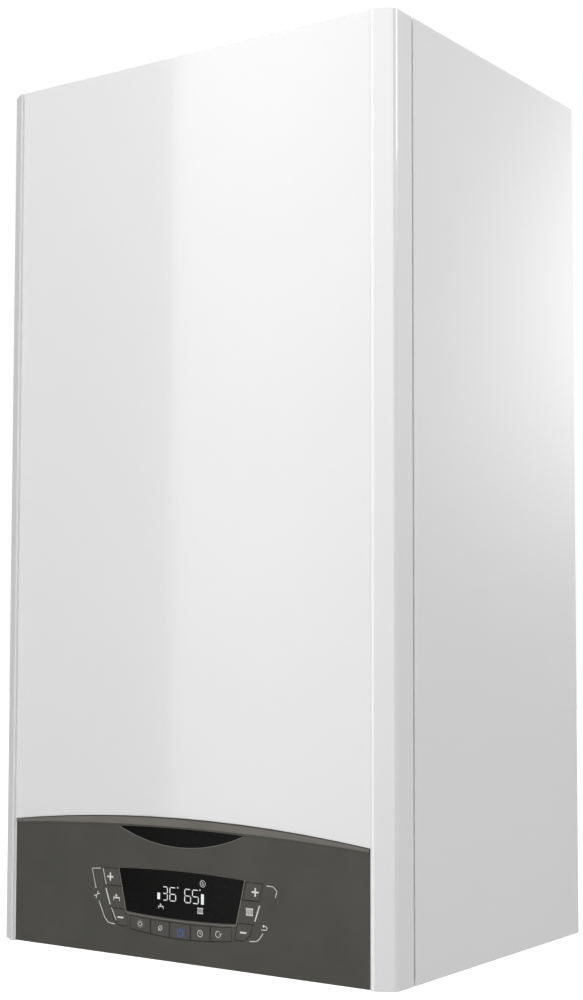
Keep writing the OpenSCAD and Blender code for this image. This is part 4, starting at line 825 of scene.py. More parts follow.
class Icon(Enum):
    """Symbols on the keys and the display, as strokes in a box from -1 to 1."""

    PLUS = ([(-1, 0), (1, 0)], [(0, -1), (0, 1)])
    MINUS = ([(-1, 0), (1, 0)],)
    TAP = (
        [(-0.85, -0.75), (-0.85, 0.05), (0.85, 0.05), (0.85, -0.85)],
        [(-0.85, -0.15), (0.85, -0.15)],
        [(-0.1, 0.05), (-0.1, 0.9)],
        [(-0.45, 0.5), (0.25, 0.5)],
    )
    RADIATOR = (
        [(-1, 0.75), (1, 0.75)],
        [(-1, -0.75), (1, -0.75)],
        *([(x, -0.95), (x, 0.95)] for x in (-0.8, -0.4, 0, 0.4, 0.8)),
    )
    POWER = (arc((0, -0.1), 0.85, 125, 415, 24), [(0, 0.2), (0, 1)])
    RESET = (arc((0, 0), 0.85, 60, 360, 20), [(0.45, 0.35), (0.85, 0), (1.2, 0.4)])
    MODE = (
        arc((0, 0), 0.5, 0, 360, 16),
        *(
            [(0.75 * math.cos(a), 0.75 * math.sin(a)), (math.cos(a), math.sin(a))]
            for a in (math.pi / 4 * i for i in range(8))
        ),
    )
    SPANNER = (
        arc((0.6, 0.6), 0.38, -30, -240, 10),
        arc((-0.6, -0.6), 0.38, 150, -60, 10),
        [(0.33, 0.33), (-0.33, -0.33)],
    )
    RETURN = (
        [(-1, -0.6), (0.6, -0.6), (0.95, -0.2), (0.95, 0.2), (0.6, 0.6), (-0.5, 0.6)],
        [(-0.05, 0.95), (-0.55, 0.6), (-0.05, 0.2)],
    )
    FLAME = (
        arc((0, 0), 0.95, 0, 360, 24),
        [
            (0, -0.45), (-0.35, -0.15), (-0.2, 0.2), (0.05, 0.55), (0.1, 0.1), (0.35, 0), (0.3, -0.3),
            (0, -0.45),
        ],
    )
    LEAF = (
        [(-0.8, -0.8), (0.3, 0.3)],
        [(-0.4, -0.4), (-0.6, 0.3), (0, 0.8), (0.8, 0.8), (0.8, 0), (0.3, -0.6), (-0.4, -0.4)],
    )
    CLOCK = (arc((0, 0), 0.9, 0, 360, 24), [(0, 0.55), (0, 0), (0.4, -0.25)])


SEGMENTS = {
    "a": [(-0.8, 1), (0.8, 1)],
    "b": [(1, 0.9), (1, 0.1)],
    "c": [(1, -0.1), (1, -0.9)],
    "d": [(-0.8, -1), (0.8, -1)],
    "e": [(-1, -0.1), (-1, -0.9)],
    "f": [(-1, 0.9), (-1, 0.1)],
    "g": [(-0.8, 0), (0.8, 0)],
}
DIGITS = {"3": "abcdg", "5": "acdfg", "6": "acdefg"}


def scaled(paths: Iterable[Path], centre: Point, half_w: float, half_h: float) -> list[Path]:
    """Brings strokes from their unit box to their place in mm."""
    return [[(centre[0] + x * half_w, centre[1] + z * half_h) for x, z in path] for path in paths]


def printed(
    name: str,
    paths: Iterable[Path],
    width: float,
    face: float,
    finish: Finish,
    body: str = "control_box",
    thick: float = 0.06,
    facets: int = 1,
) -> Piece:
    """Lays strokes of ink on an upright face.

    Args:
        name: The piece's name.
        paths: Strokes as points (x, z) in mm, or (x, z, share of the width) where a stroke tapers.
        width: Width of the strokes in mm.
        face: Place of the face along Y in mm.
        finish: The ink.
        body: The body that carries it.
        thick: Height of the ink over its face in mm.
        facets: Steps in each quarter of a stroke's section.

    Returns:
        The print.
    """
    data = bpy.data.curves.new(name, "CURVE")
    data.dimensions = "3D"
    data.bevel_depth = width / 2
    data.bevel_resolution = facets
    data.use_fill_caps = True
    for path in paths:
        spline = data.splines.new("POLY")
        closed = len(path) > 3 and math.dist(path[0], path[-1]) < ONE_POINT
        points = path[:-1] if closed else path
        spline.points.add(len(points) - 1)
        for point, (x, z, *share) in zip(spline.points, points):
            point.co = (x, 0, z, 1)
            point.radius = share[0] if share else 1.0
        spline.use_cyclic_u = closed
    obj = bpy.data.objects.new(name, data)
    bpy.context.scene.collection.objects.link(obj)
    only(obj)
    bpy.ops.object.convert(target="MESH")
    obj = bpy.context.active_object
    flat = Matrix.Diagonal((MM, 2 * thick / width * MM, MM, 1))
    obj.data.transform(Matrix.Translation((0, face * MM, 0)) @ flat)
    smooth(obj, PRINT_ANGLE)
    return seat(obj, finish, body)


# ---- Sub-assemblies


@dataclass
class Casing:
    """The sheet-steel casing: cover, sides, top, rear frame, rail and their screws."""

    sheet_edge: float = 0.35
    blank_at: Place = (-125.0, -165.0, 745.0)
    blank_r: float = 44.0
    blank_screws_in: float = 13.0
    corners: tuple[Point, ...] = ((199.0, -311.6, 200.0, -309.3), (198.0, -311.0, 198.9, -308.5))
    corner_bend: float = 2.6
    return_in: float = 198.9
    seam_y: float = -285.0
    seam_more: float = 0.8
    ridge_foot: Point = (181.0, -317.0)
    ridge_from: Point = (0.02, 0.08, 0.18, 0.32, 0.49, 0.7, 3.32, 3.52)
    ridge_out: Point = (0.5, 0.8, 1.45, 1.55, 1.7, 1.9, 3.95, 4.1)
    ridge_rise: Point = (0, -0.5, -0.5, -0.2, 1.5, 1.6, 1.134, 1.1)
    slack: float = 0.01
    reach: float = 0.1

    def build(self) -> None:
        """Builds the casing's pieces."""
        sheets = ("side_panel_left", "side_panel_right", "top_panel")
        clad((node, Palette.enamel, self.sheet_edge) for node in sheets)
        soften("front_cover", Palette.enamel, self.sheet_edge, self.fold_cover)
        clad((node, Palette.zinc_sheet, 0.25) for node in ("rear_frame", "bottom_rail"))
        clad((node, Palette.zinc_screw, 0.2) for node in ("frame_screws", "cover_screws"))
        self.blank()

    def fold_cover(self, cover: Piece) -> None:
        """Gives each ridge a groove, a steep inner side and a slanted land, and bends the corners.

        Args:
            cover: The merged copy of the cover.
        """
        foot_x, foot_y = self.ridge_foot
        for vertex in cover.data.vertices:
            side, ahead = math.copysign(MM, vertex.co.x), vertex.co.y / MM
            out = abs(vertex.co.x) / MM - foot_x
            if self.slack < out < self.ridge_from[-1] + 2 * self.slack and ahead < foot_y - self.slack:
                vertex.co.x = side * (foot_x + between(out, self.ridge_from, self.ridge_out))
                vertex.co.y = (foot_y - between(out, self.ridge_from, self.ridge_rise)) * MM
            elif abs(vertex.co.x) / MM > self.return_in and ahead > self.seam_y - self.reach:
                vertex.co.y -= MM * self.seam_more
            for from_x, from_y, to_x, to_y in self.corners:
                if math.dist((abs(vertex.co.x) / MM, ahead), (from_x, from_y)) < self.reach:
                    vertex.co.x, vertex.co.y = side * to_x, MM * to_y
                    break

        def is_corner(middle: Vector, along: Vector) -> bool:
            """Says whether an edge is one of the two outer corners."""
            apart = math.dist((abs(middle.x) / MM, middle.y / MM), self.corners[0][2:])
            return abs(along.z) > 0.99 and apart < 3 * self.reach

        edit(
            cover,
            lambda: pick(cover, is_corner, "EDGE"),
            lambda: bpy.ops.mesh.bevel(offset=self.corner_bend * MM, segments=6, affect="EDGES"),
        )

    def blank(self) -> None:
        """Adds the round plate that blanks the spare air inlet in the top, with its screws."""
        x, y, z = self.blank_at
        edge = self.blank_r
        profile = [
            (0, 0.9), (edge - 9, 0.9), (edge - 8, 1.5), (edge - 5, 1.5), (edge - 4, 0.9), (edge - 0.4, 0.9),
            (edge, 0.5), (edge, 0.05), (0, 0.05),
        ]
        turned("top_blank", profile, self.blank_at, UP, Palette.enamel, 72)
        reach = edge - self.blank_screws_in
        head = [(0, 0.5), (1.2, 0.5), (1.4, 1.7), (2.6, 1.5), (3.4, 0.6), (3.6, 0)]
        screw = turned("top_blank_screw", head, (x + reach, y, z + 0.9), UP, Palette.zinc_screw, 24)
        turns = [math.radians(a) for a in (120, 240)]
        moves = [(reach * (math.cos(a) - 1), reach * math.sin(a), 0) for a in turns]
        repeat(screw, moves)


@dataclass
class ControlPanel:
    """The control box: fascia, badge, window, keys, boards, tray and its pins."""

    face: float = -317.0
    window_face: float = -317.2
    badge_face: float = -317.3
    arch_apex: float = 115.8
    arch_r: float = 1480.0
    band_w: float = 8.0
    band_r: float = 2700.0
    band_half: float = 180.4
    band_steps: int = 30
    band_gap: float = 0.4
    band_foot_gap: float = 1.2
    band_least: float = 0.2
    band_rim: float = 0.6
    badge_half: float = 64.0
    badge_top: float = 105.6
    badge_sag: float = 13.4
    board_skin: float = -249.4
    board_fields: tuple[tuple[Finish, float, float], ...] = (
        (Palette.coil_tape, -131.0, -89.0),
        (Palette.relay, -71.0, 13.0),
        (Palette.can_sleeve, 31.0, 89.0),
        (Palette.terminal, 99.0, 143.0),
    )

    def build(self) -> None:
        """Builds the panel's pieces and prints."""
        clad(
            (
                ("control_fascia", Palette.fascia, 0.25),
                ("badge_plate", Palette.badge, 0.3),
                ("display_window", Palette.window, 0.2),
                *((node, Palette.key, 0.4) for node in frame["nodes"] if node.startswith("key_")),
                ("display_module", Palette.lcd, 0.3),
                ("display_board", Palette.board, 0.1),
            )
        )
        self.main_board()
        clad((("control_tray", Palette.grey, 0.5), ("hinge_pins", Palette.zinc_screw, 0.4)))
        self.band()
        self.grooves()
        self.symbols()
        self.rules()
        self.readout()

    def main_board(self) -> None:
        """Builds the main board, its components in finishes of their own."""
        board = soften("main_board", Palette.board, 0.2)
        for number, (finish, low, high) in enumerate(self.board_fields, 1):
            board.data.materials.append(finish.material())
            for face in board.data.polygons:
                middle = face.center / MM
                if middle.y < self.board_skin and low < middle.x < high:
                    face.material_index = number

    def arch(self, x: float, apex: float, radius: float) -> float:
        """Height at x of an arch with that apex and radius."""
        return apex - radius + math.sqrt(radius * radius - x * x)

    def band(self) -> None:
        """Lays the rounded band that runs under the arch and thins out towards its ends; its lighter colour
        is painted highlight, and the pale line along its foot is a painted highlight too.
        """
        upper, lower = [], []
        for i in range(-self.band_steps, self.band_steps + 1):
            x = self.band_half * i / self.band_steps
            top = self.arch(x, self.arch_apex, self.arch_r) - self.band_gap
            foot = self.arch(x, self.arch_apex - self.band_w, self.band_r)
            upper.append((x, (top + foot) / 2, max(self.band_least, (top - foot) / self.band_w)))
            lower.append((x, min(foot, top - self.band_foot_gap)))
        width = self.band_w - self.band_rim
        # the band's raised shape is real, its lighter finish is painted highlight; the pale line along its
        # foot is painted highlight
        printed("fascia_band", [upper], width, self.face - 0.75, Palette.band, thick=0.55)
        printed("fascia_band_foot_highlight", [lower], 0.7, self.face, Palette.edge_highlight, thick=0.25)

    def grooves(self) -> None:
        """Draws the dark joints round the key field, and painted highlight lines along the window's frame and
        the badge's rim.
        """
        side = [(61, 23.7), (67, 26), (70.7, 29.3), (74.6, 40), (80, 55), (82.9, 69.3), (66, 70.9)]
        foot = [(-61, 23.7), (-50, 22), (-31, 20.4), (0, 18.5), (31, 20.4), (50, 22), (61, 23.7)]
        mirrored = [(-x, z) for x, z in side]
        tiles = [[(57.9, 38.2), (74, 38.2)], [(61.4, 55.9), (80.2, 55.9)]]
        left_tiles = [[(-x, z) for x, z in path] for path in tiles]
        paths = [foot + side[1:], [foot[0]] + mirrored[1:], *tiles, *left_tiles]
        printed("keypad_grooves", paths, 0.5, self.face, Palette.groove_line, thick=0.04)
        sag = arc((0, 1006.9), 973.1, 266.85, 273.15, 24)
        edge = [(-64.8, 71.6), (-56.6, 36.4), *sag, (56.6, 36.4), (64.8, 71.6)]
        # painted highlight along the window's frame
        printed("window_frame_highlight", [edge], 0.8, self.face, Palette.edge_highlight, thick=0.12)
        radius = (self.badge_half**2 + self.badge_sag**2) / (2 * self.badge_sag)
        reach = math.degrees(math.asin(self.badge_half / radius))
        rim = arc((0, self.badge_top - self.badge_sag + radius), radius, 270 - reach, 270 + reach, 40)
        # painted highlight along the badge's rim
        printed("badge_edge_highlight", [rim], 0.55, self.badge_face + 0.1, Palette.edge_highlight, thick=0.2)

    def symbols(self) -> None:
        """Prints the symbols of the keys."""
        marks = (
            ("key_dhw_plus", Icon.PLUS, (-73.8, 63.2), 3.4, 3.4, 1.5, Palette.white_ink),
            ("key_dhw_minus", Icon.MINUS, (-62.5, 30.9), 3.1, 1, 1.6, Palette.white_ink),
            ("key_heat_plus", Icon.PLUS, (74.8, 63.2), 3.4, 3.4, 1.5, Palette.white_ink),
            ("key_heat_minus", Icon.MINUS, (63.4, 30.9), 3.1, 1, 1.6, Palette.white_ink),
            ("key_mode", Icon.MODE, (-41.4, 27.7), 3.1, 3.1, 0.55, Palette.white_ink),
            ("key_comfort", Icon.LEAF, (-20.6, 26.0), 2.6, 2.6, 0.55, Palette.white_ink),
            ("key_auto", Icon.CLOCK, (20.6, 26.0), 2.8, 2.8, 0.55, Palette.white_ink),
            ("key_reset", Icon.RESET, (38.6, 27.1), 2.8, 2.8, 0.6, Palette.white_ink),
            ("key_power", Icon.POWER, (0.5, 25), 3.4, 3.4, 0.8, Palette.blue_ink),
        )
        for node, icon, centre, half_w, half_h, width, ink in marks:
            strokes = scaled(icon.value, centre, half_w, half_h)
            printed(node + "_symbol", strokes, width, self.face, ink, BODY_OF[node])

    def rules(self) -> None:
        """Prints the fascia's rules and symbols."""
        fine = (
            [(-81.8, 69.3), (-78.2, 56.4)],
            [(-72.4, 38), (-67.1, 28.2)],
            [(-84.6, 69.3), (-93.9, 68.6), (-89.4, 52.5)],
            [(-86.1, 42.5), (-79.6, 29.3), (-75.7, 25.7), (-68.6, 24.9)],
            [(85.7, 69.1), (92, 68.9), (95.7, 65.7), (94.1, 60.7)],
            [(82.5, 32.1), (78.6, 27.1), (75.7, 25.4), (69.6, 24.9)],
            *scaled(Icon.SPANNER.value, (-88.2, 47.4), 3.2, 3.2),
            *scaled(Icon.RETURN.value, (83.6, 36.4), 2.8, 2.4),
            *scaled(Icon.TAP.value, (-66.9, 46.8), 3.6, 3.2),
            *scaled(Icon.RADIATOR.value, (69.3, 47.5), 3.5, 3.2),
        )
        bars = ([(-78.6, 53.4), (-73.7, 40.4)], [(79.1, 53.2), (74.6, 40.7)])
        printed("fascia_rules", fine, 0.75, self.face, Palette.white_ink)
        printed("fascia_bars", bars, 1.3, self.face, Palette.white_ink)

    def readout(self) -> None:
        """Lights the numbers and bars on the display."""
        strokes: list[Path] = []
        for digit, x, half_w in (("3", -15.2, 2.3), ("6", -7.3, 3.0), ("6", 8.0, 3.0), ("5", 15.9, 3.0)):
            strokes += scaled((SEGMENTS[s] for s in DIGITS[digit]), (x, 54.5), half_w, 5.3)
        bars = [[(-21.9, 49.4), (-21.9, 54.6)], [(23, 49), (23, 57.2)]]
        marks = [
            *scaled(Icon.FLAME.value, (23.2, 65.4), 2.7, 2.7),
            *scaled(Icon.TAP.value, (-19.6, 43.9), 3, 2.6),
            *scaled(Icon.RADIATOR.value, (20.7, 43.9), 3, 2.6),
            arc((-2.2, 60.2), 0.5, 0, 360, 8),
            arc((20.4, 60.2), 0.5, 0, 360, 8),
        ]
        for name, paths, width in (("digits", strokes, 0.8), ("bars", bars, 2.8), ("marks", marks, 0.4)):
            printed("display_" + name, paths, width, self.window_face, Palette.lit)


@dataclass
class Chamber:
    """The sealed chamber with the burner, the exchanger, the fan and the flue."""

    cover_face: float = -288.0
    beads: tuple[tuple[str, float, float, float], ...] = (("outer", 160, 262, 702), ("inner", 118, 304, 660))
    bead_corner: float = 14.0
    shell_axis: Point = (-62.0, 450.0)
    shell_r: float = 106.0
    shell_bead: tuple[float, float] = (7.0, 1.6)
    shell_bead_y: float = -236.0
    shell_bead_step: float = 34.0
    stud_r: float = 98.0
    door_face: float = -262.3
    sight_up: float = 62.0
    boots_at: tuple[Point, ...] = ((-50.0, 14.0), (-50.0, -14.0))
    boot_y: float = -271.5
    fan_axis: Point = (122.0, 418.0)
    fan_screw_r: float = 47.5
    fan_face: float = -255.0
    collar_top: float = 747.3
    collar_y: float = -165.0
    collar_screw: float = 55.0
    test_cap_at: Place = (-11.0, -216.2, 760.0)
    skins: tuple[tuple[str, Finish, float], ...] = (
        ("chamber_box", Palette.zinc_sheet, 0.25),
        ("chamber_cover", Palette.zinc_sheet, 0.3),
        ("chamber_seal", Palette.foam, 0.6),
        ("heat_exchanger", Palette.steel, 0),
        ("exchanger_coil", Palette.steel, 0),
        ("burner", Palette.steel, 0),
        ("burner_door", Palette.alloy, 0.5),
        ("electrodes", Palette.ceramic, 0),
        ("fan_housing", Palette.alloy, 0.5),
        ("fan_impeller", Palette.rotor, 0),
        ("fan_motor", Palette.motor, 0.5),
        ("mixer", Palette.grey, 0),
        ("air_silencer", Palette.grey, 0.6),
        ("mixture_duct", Palette.alloy, 0.5),
        ("flue_duct", Palette.duct, 0),
        ("flue_collar", Palette.enamel, 0.4),
        ("flue_socket", Palette.duct, 0.4),
    )

    def build(self) -> None:
        """Dresses the chamber's pieces."""
        clad(self.skins)
        self.cover_beads()
        self.shell_beads()
        self.door_fittings()
        self.fan_fittings()
        self.flue_fittings()

    def cover_beads(self) -> None:
        """Presses two stiffening beads into the chamber's cover."""
        r = self.bead_corner
        for name, half, low, high in self.beads:
            centres = ((half - r, high - r), (r - half, high - r), (r - half, low + r), (half - r, low + r))
            path = [p for i, centre in enumerate(centres) for p in arc(centre, r, 90 * i, 90 * i + 90, 8)]
            path.append(path[0])
            name = "chamber_cover_bead_" + name
            printed(name, [path], 9, self.cover_face, Palette.zinc_sheet, "chamber_cover", 1.2)

    def shell_beads(self) -> None:
        """Rolls four beads round the exchanger's shell."""
        (x, z), r, (wide, proud) = self.shell_axis, self.shell_r, self.shell_bead
        profile = [
            (r - 0.4, 0), (r, 0), (r + proud * 0.7, wide * 0.2), (r + proud, wide / 2),
            (r + proud * 0.7, wide * 0.8), (r, wide), (r - 0.4, wide), (r - 0.4, 0),
        ]
        bead = turned("shell_bead", profile, (x, self.shell_bead_y, z), BACK, Palette.steel, 96)
        repeat(bead, [(0, self.shell_bead_step * i, 0) for i in (1, 2, 3)])

    def door_fittings(self) -> None:
        """Adds the burner door's nuts, its sight glass, its rib and the electrodes' boots."""
        x, z = self.shell_axis
        places = spaced(self.shell_axis, self.stud_r, range(30, 390, 60))
        first = (places[0][0], self.door_face, places[0][1])
        nut = hexed("door_nut", 8, 5, first, FORWARD, Palette.zinc_screw)
        thread = [(0, 9), (1.8, 9), (2.4, 8.4), (2.4, 0)]
        stud = turned("door_stud", thread, first, FORWARD, Palette.zinc_screw, 20)
        repeat(nut, moves_from_first(places))
        repeat(stud, moves_from_first(places))
        rib = [(82, -0.2), (82, 0.8), (83, 1.6), (86, 1.6), (87, 0.8), (87, -0.2)]
        turned("door_rib", rib, (x, self.door_face, z), FORWARD, Palette.alloy, 96)
        sight = (x, self.door_face, z + self.sight_up)
        rim = [(6, -0.3), (6, 2.2), (7, 3), (10, 3), (11, 2), (11, -0.3)]
        turned("sight_frame", rim, sight, FORWARD, Palette.brass)
        turned("sight_pane", [(0, 1.4), (6.2, 1.2), (6.2, -0.2)], sight, FORWARD, Palette.sight)
        boot = [(0, 15), (2.6, 15), (3.2, 14.4), (3.2, 8), (4.2, 7.2), (4.2, 5), (5.2, 4.4), (5.2, -3)]
        boot.append((4.6, -3.6))
        for number, (right, up) in enumerate(self.boots_at, 1):
            place = (x + right, self.boot_y, z + up)
            turned(f"electrode_boot_{number}", boot, place, FORWARD, Palette.silicone, 28)

    def fan_fittings(self) -> None:
        """Adds the fan housing's rim screws and the mixer's flange ring."""
        x, z = self.fan_axis
        places = spaced(self.fan_axis, self.fan_screw_r, (20, 200, 240, 290, 335))
        first = (places[0][0], self.fan_face, places[0][1])
        head = hexed("fan_screw", 7, 3.2, first, FORWARD, Palette.zinc_screw)
        repeat(head, moves_from_first(places))
        flange = [(25.6, 0), (30, 0), (31, 0.8), (31, 3.2), (30, 4), (25.6, 4)]
        turned("mixer_flange", flange, (x, self.fan_face - 0.2, z), FORWARD, Palette.grey, 72)

    def flue_fittings(self) -> None:
        """Adds the collar's screws, its seal and the two test caps."""
        half = self.collar_screw
        first = (half, self.collar_y - half, self.collar_top)
        head = hexed("collar_screw", 8, 3.4, first, UP, Palette.zinc_screw)
        repeat(head, [(-2 * half, 0, 0), (0, 2 * half, 0), (-2 * half, 2 * half, 0)])
        seal = [(52.0, 0), (55, 0), (55.6, 0.6), (55.6, 1.4), (55, 2), (52.0, 2)]
        turned("collar_seal", seal, (0, self.collar_y, self.collar_top), UP, Palette.foam, 72)
        cap = [(0, 4.6), (3.6, 4.6), (4.6, 4), (4.6, 1.4), (5.6, 1), (5.6, -1.2)]
        test = turned("test_cap", cap, self.test_cap_at, FORWARD, Palette.grey, 32)
        repeat(test, [(-2 * self.test_cap_at[0], 0, 0)])


@dataclass
class Waterways:
    """The gas line, the vessel, the water groups, the pump, the pipes and the drain."""

    tail_y: float = -110.0
    tail_at: Point = (-134.0, -67.0, 0.0, 67.0, 134.0)
    tail_r: Point = (13.22, 10.48, 13.22, 10.48, 13.22)
    threads: int = 7
    thread_pitch: float = 1.8
    nut_more: float = 5.3
    hose_x: float = -78.0
    hose_ends: tuple[Point, Point] = ((-150.0, 329.7), (-195.0, 198.3))
    hose_turn: float = 268.0
    hose_bend: float = 16.0
    hose_w: float = 19.6
    rib_step: float = 1.2
    rib_dip: float = 0.86
    pump_axis: Point = (130.0, 100.0)
    pump_ribs: int = 7
    pump_rib_step: float = 4.6
    grip_at: Place = (-78.0, -195.0, 175.0)
    grip_step: float = 12.0
    grip_high: float = 0.9
    valve_face: float = -199.2
    coil_at: Place = (-14.0, -215.2, 184.0)
    union_nuts: tuple[tuple[str, float, float, Place], ...] = (
        ("flow_pipe_nut", 24.0, 11.0, (-134.0, -120.0, 150.6)),
        ("return_pipe_nut", 24.0, 11.0, (150.0, -120.0, 160.6)),
        ("vessel_pipe_nut", 20.0, 10.0, (60.0, -42.8, 298.0)),
        ("gas_pipe_nut", 26.0, 10.0, (0.0, -180.0, 139.0)),
        ("gas_feed_nut", 26.0, 10.0, (0.0, -180.0, 216.0)),
    )
    skins: tuple[tuple[str, Finish, float], ...] = (
        ("gas_valve", Palette.alloy, 0.5),
        ("gas_pipe", Palette.gas, 0),
        ("gas_feed_pipe", Palette.gas, 0),
        ("expansion_vessel", Palette.vessel, 0),
        ("vessel_pipe", Palette.copper, 0),
        ("flow_pipe", Palette.copper, 0),
        ("return_pipe", Palette.copper, 0),
        ("flow_group", Palette.brass, 0),
        ("return_group", Palette.brass, 0),
        ("pump_motor", Palette.motor, 0.6),
        ("pump_impeller", Palette.rotor, 0),
        ("plate_heat_exchanger", Palette.steel, 0.3),
        ("diverter_motor", Palette.motor, 0.5),
        ("diverter_spindle", Palette.spindle, 0),
        ("safety_knob", Palette.red_knob, 0.6),
        ("filling_handle", Palette.blue_handle, 0.6),
        ("condensate_trap", Palette.duct, 0.4),
    )

    def build(self) -> None:
        """Dresses the lines' pieces."""
        clad(self.skins)
        self.hose()
        self.tails()
        self.pump()
        self.valve()
        for name, across, high, at in self.union_nuts:
            hexed(name, across, high, at, UP, Palette.brass)
        self.trap_grip()

    def hose(self) -> None:
        """Builds the ribbed drain hose along its own way from the exchanger to the trap."""
        (back, high), (front, low) = self.hose_ends
        turn, bend = self.hose_turn, self.hose_bend
        upper_bend = arc((back - bend, turn + bend), bend, 0, -90, 12)
        lower_bend = arc((front + bend, turn - bend), bend, 90, 180, 12)
        way = [(back, high), *upper_bend, *lower_bend, (front, low)]
        points: list[Point] = []
        left = 0.0
        for (y0, z0), (y1, z1) in zip(way, way[1:]):
            span = math.dist((y0, z0), (y1, z1))
            while left < span:
                share = left / span
                points.append((y0 + (y1 - y0) * share, z0 + (z1 - z0) * share))
                left += self.rib_step
            left -= span
        ribbed = [(y, z, self.rib_dip if number % 3 else 1.0) for number, (y, z) in enumerate(points)]
        path = [*ribbed, (front, low, 1.0)]
        name = "condensate_hose_piece"
        hose = printed(name, [path], self.hose_w, 0, Palette.grey, "root", self.hose_w / 2, 3)
        turn_back = Matrix.Rotation(math.pi / 2, 4, "Z")
        hose.data.transform(Matrix.Translation((self.hose_x * MM, 0, 0)) @ turn_back)
        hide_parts("condensate_hose")

    def tails(self) -> None:
        """Adds the hexagon nuts under the rail and the threads of the five connections."""
        pitch = self.thread_pitch
        for number, (x, radius) in enumerate(zip(self.tail_at, self.tail_r), 1):
            finish = Palette.brass if x else Palette.gas
            nut_at = (x, self.tail_y, 1.6)
            hexed(f"tail_nut_{number}", 2 * (radius + self.nut_more), 5.6, nut_at, UP, Palette.brass)
            ridges: list[Point] = [(radius - 1.5, 0.2)]
            for turn in range(self.threads):
                for out, up in ((-0.2, 0.4), (0.35, 1.1), (-0.2, 1.9)):
                    ridges.append((radius + out, up + turn * pitch))
            ridges.append((radius - 1.5, self.threads * pitch + 0.3))
            turned(f"tail_thread_{number}", ridges, (x, self.tail_y, -18), UP, finish)

    def pump(self) -> None:
        """Adds the pump's cooling ribs, its vent plug and the lid of its terminal box."""
        x, z = self.pump_axis
        ribs: list[Point] = [(40, 0)]
        for rib in range(self.pump_ribs):
            for out, along in ((40.9, 0), (42.3, 0.4), (42.3, 1.8), (40.9, 2.2)):
                ribs.append((out, rib * self.pump_rib_step + along))
        ribs.append((40, 31))
        turned("pump_ribs", ribs, (x, -196, z), BACK, Palette.motor, 96)
        vent = [(0, 1.4), (2, 1.4), (2, 2.6), (7.6, 2.6), (8.6, 1.8), (8.6, -0.3)]
        turned("pump_vent", vent, (x, -214.3, z), FORWARD, Palette.brass)
        boxed("pump_box_lid", (x - 25, -203, 160.4), (x + 25, -163.6, 163), UP, Palette.grey, 3, -0.8)
        head = [(0, 0.4), (0.9, 0.4), (1.1, 1.5), (2.2, 1.2), (2.6, 0)]
        screw = turned("pump_box_screw", head, (x - 22.6, -200.6, 162.9), UP, Palette.zinc_screw, 20)
        repeat(screw, [(45.2, 0, 0), (0, 34.6, 0), (45.2, 34.6, 0)])

    def valve(self) -> None:
        """Adds the gas valve's coil caps, plug, adjuster and test nipples."""
        coil = [(0, 2.2), (3, 2.2), (3.6, 1.4), (9.6, 1.4), (10.6, 0.6), (11.5, 0.2), (11.5, -6)]
        coil.append((10.8, -6.4))
        cap = turned("coil_cap", coil, self.coil_at, FORWARD, Palette.motor)
        repeat(cap, [(30, 0, 0)])
        boxed("valve_plug", (-30, -207, 196), (-4, -199.5, 207), FORWARD, Palette.terminal, 1.6, -1.2)
        dial = [(0, 3.4), (1.6, 3.4), (1.6, 2.2), (3.8, 2.2), (4.8, 3.2), (6.2, 3.2), (6.8, 2.6), (6.8, -0.4)]
        turned("valve_adjuster", dial, (22, self.valve_face, 163), FORWARD, Palette.blue_handle)
        tip = [(0, 5), (1.4, 5), (1.4, 7.4), (2.6, 7.4), (3.2, 6.2), (2.6, 2.4), (3.8, 2), (3.8, -0.4)]
        nipple = turned("test_nipple", tip, (-24, self.valve_face, 164), FORWARD, Palette.brass, 28)
        repeat(nipple, [(15, 0, 0)])

    def trap_grip(self) -> None:
        """Adds a grip ring to the trap's cap, every other face of it raised."""
        profile = [(28.6, 0), (29.2, 0), (29.2, 12), (28.6, 12)]
        grip = turned("trap_grip", profile, self.grip_at, UP, Palette.duct, 60)
        axis = Vector(self.grip_at) * MM

        def alternate(middle: Vector, normal: Vector) -> bool:
            """Says whether a face of the ring's outside is one of every second.

            Args:
                middle: The face's middle.
                normal: The face's normal.

            Returns:
                True for every second one.
            """
            out = middle - axis
            turn = math.degrees(math.atan2(out.y, out.x)) % self.grip_step
            return abs(normal.z) < 0.5 and math.hypot(out.x, out.y) > 28.9 * MM and turn < self.grip_step / 2

        raised = {"value": self.grip_high * MM}
        edit(
            grip,
            lambda: pick(grip, alternate),
            lambda: bpy.ops.mesh.extrude_region_shrink_fatten(TRANSFORM_OT_shrink_fatten=raised),
        )
        smooth(grip)


@dataclass(frozen=True)
class Lamp:
    """A soft box: its place, aim, size in m, power in W, fade and whether only gloss sees it."""

    name: str
    at: Place
    aim: Place
    size: tuple[float, float]
    power: float
    foot_share: float = 1.0
    mirrored_only: bool = False

    def build(self) -> None:
        """Adds the lamp."""
        data = bpy.data.lights.new(self.name, "AREA")
        data.shape = "RECTANGLE"
        data.size, data.size_y = self.size
        data.energy = self.power
        if self.foot_share < 1:
            self.fade(data)
        lamp = bpy.data.objects.new(self.name, data)
        lamp.location = self.at
        lamp.rotation_euler = (Vector(self.aim) - Vector(self.at)).to_track_quat("-Z", "Y").to_euler()
        lamp.visible_diffuse = not self.mirrored_only
        bpy.context.scene.collection.objects.link(lamp)

    def fade(self, data: bpy.types.AreaLight) -> None:
        """Dims the lamp evenly from its head to its foot.

        Args:
            data: The lamp's data.
        """
        data.use_nodes = True
        tree = data.node_tree
        place = add_node(tree, "NewGeometry", {}).outputs["Parametric"]
        height = add_node(tree, "SeparateXYZ", {0: place}).outputs["Y"]
        share = add_node(tree, "MapRange", {"Value": height, "To Min": self.foot_share}).outputs[0]
        feed(tree, tree.nodes["Emission"], {"Strength": share})


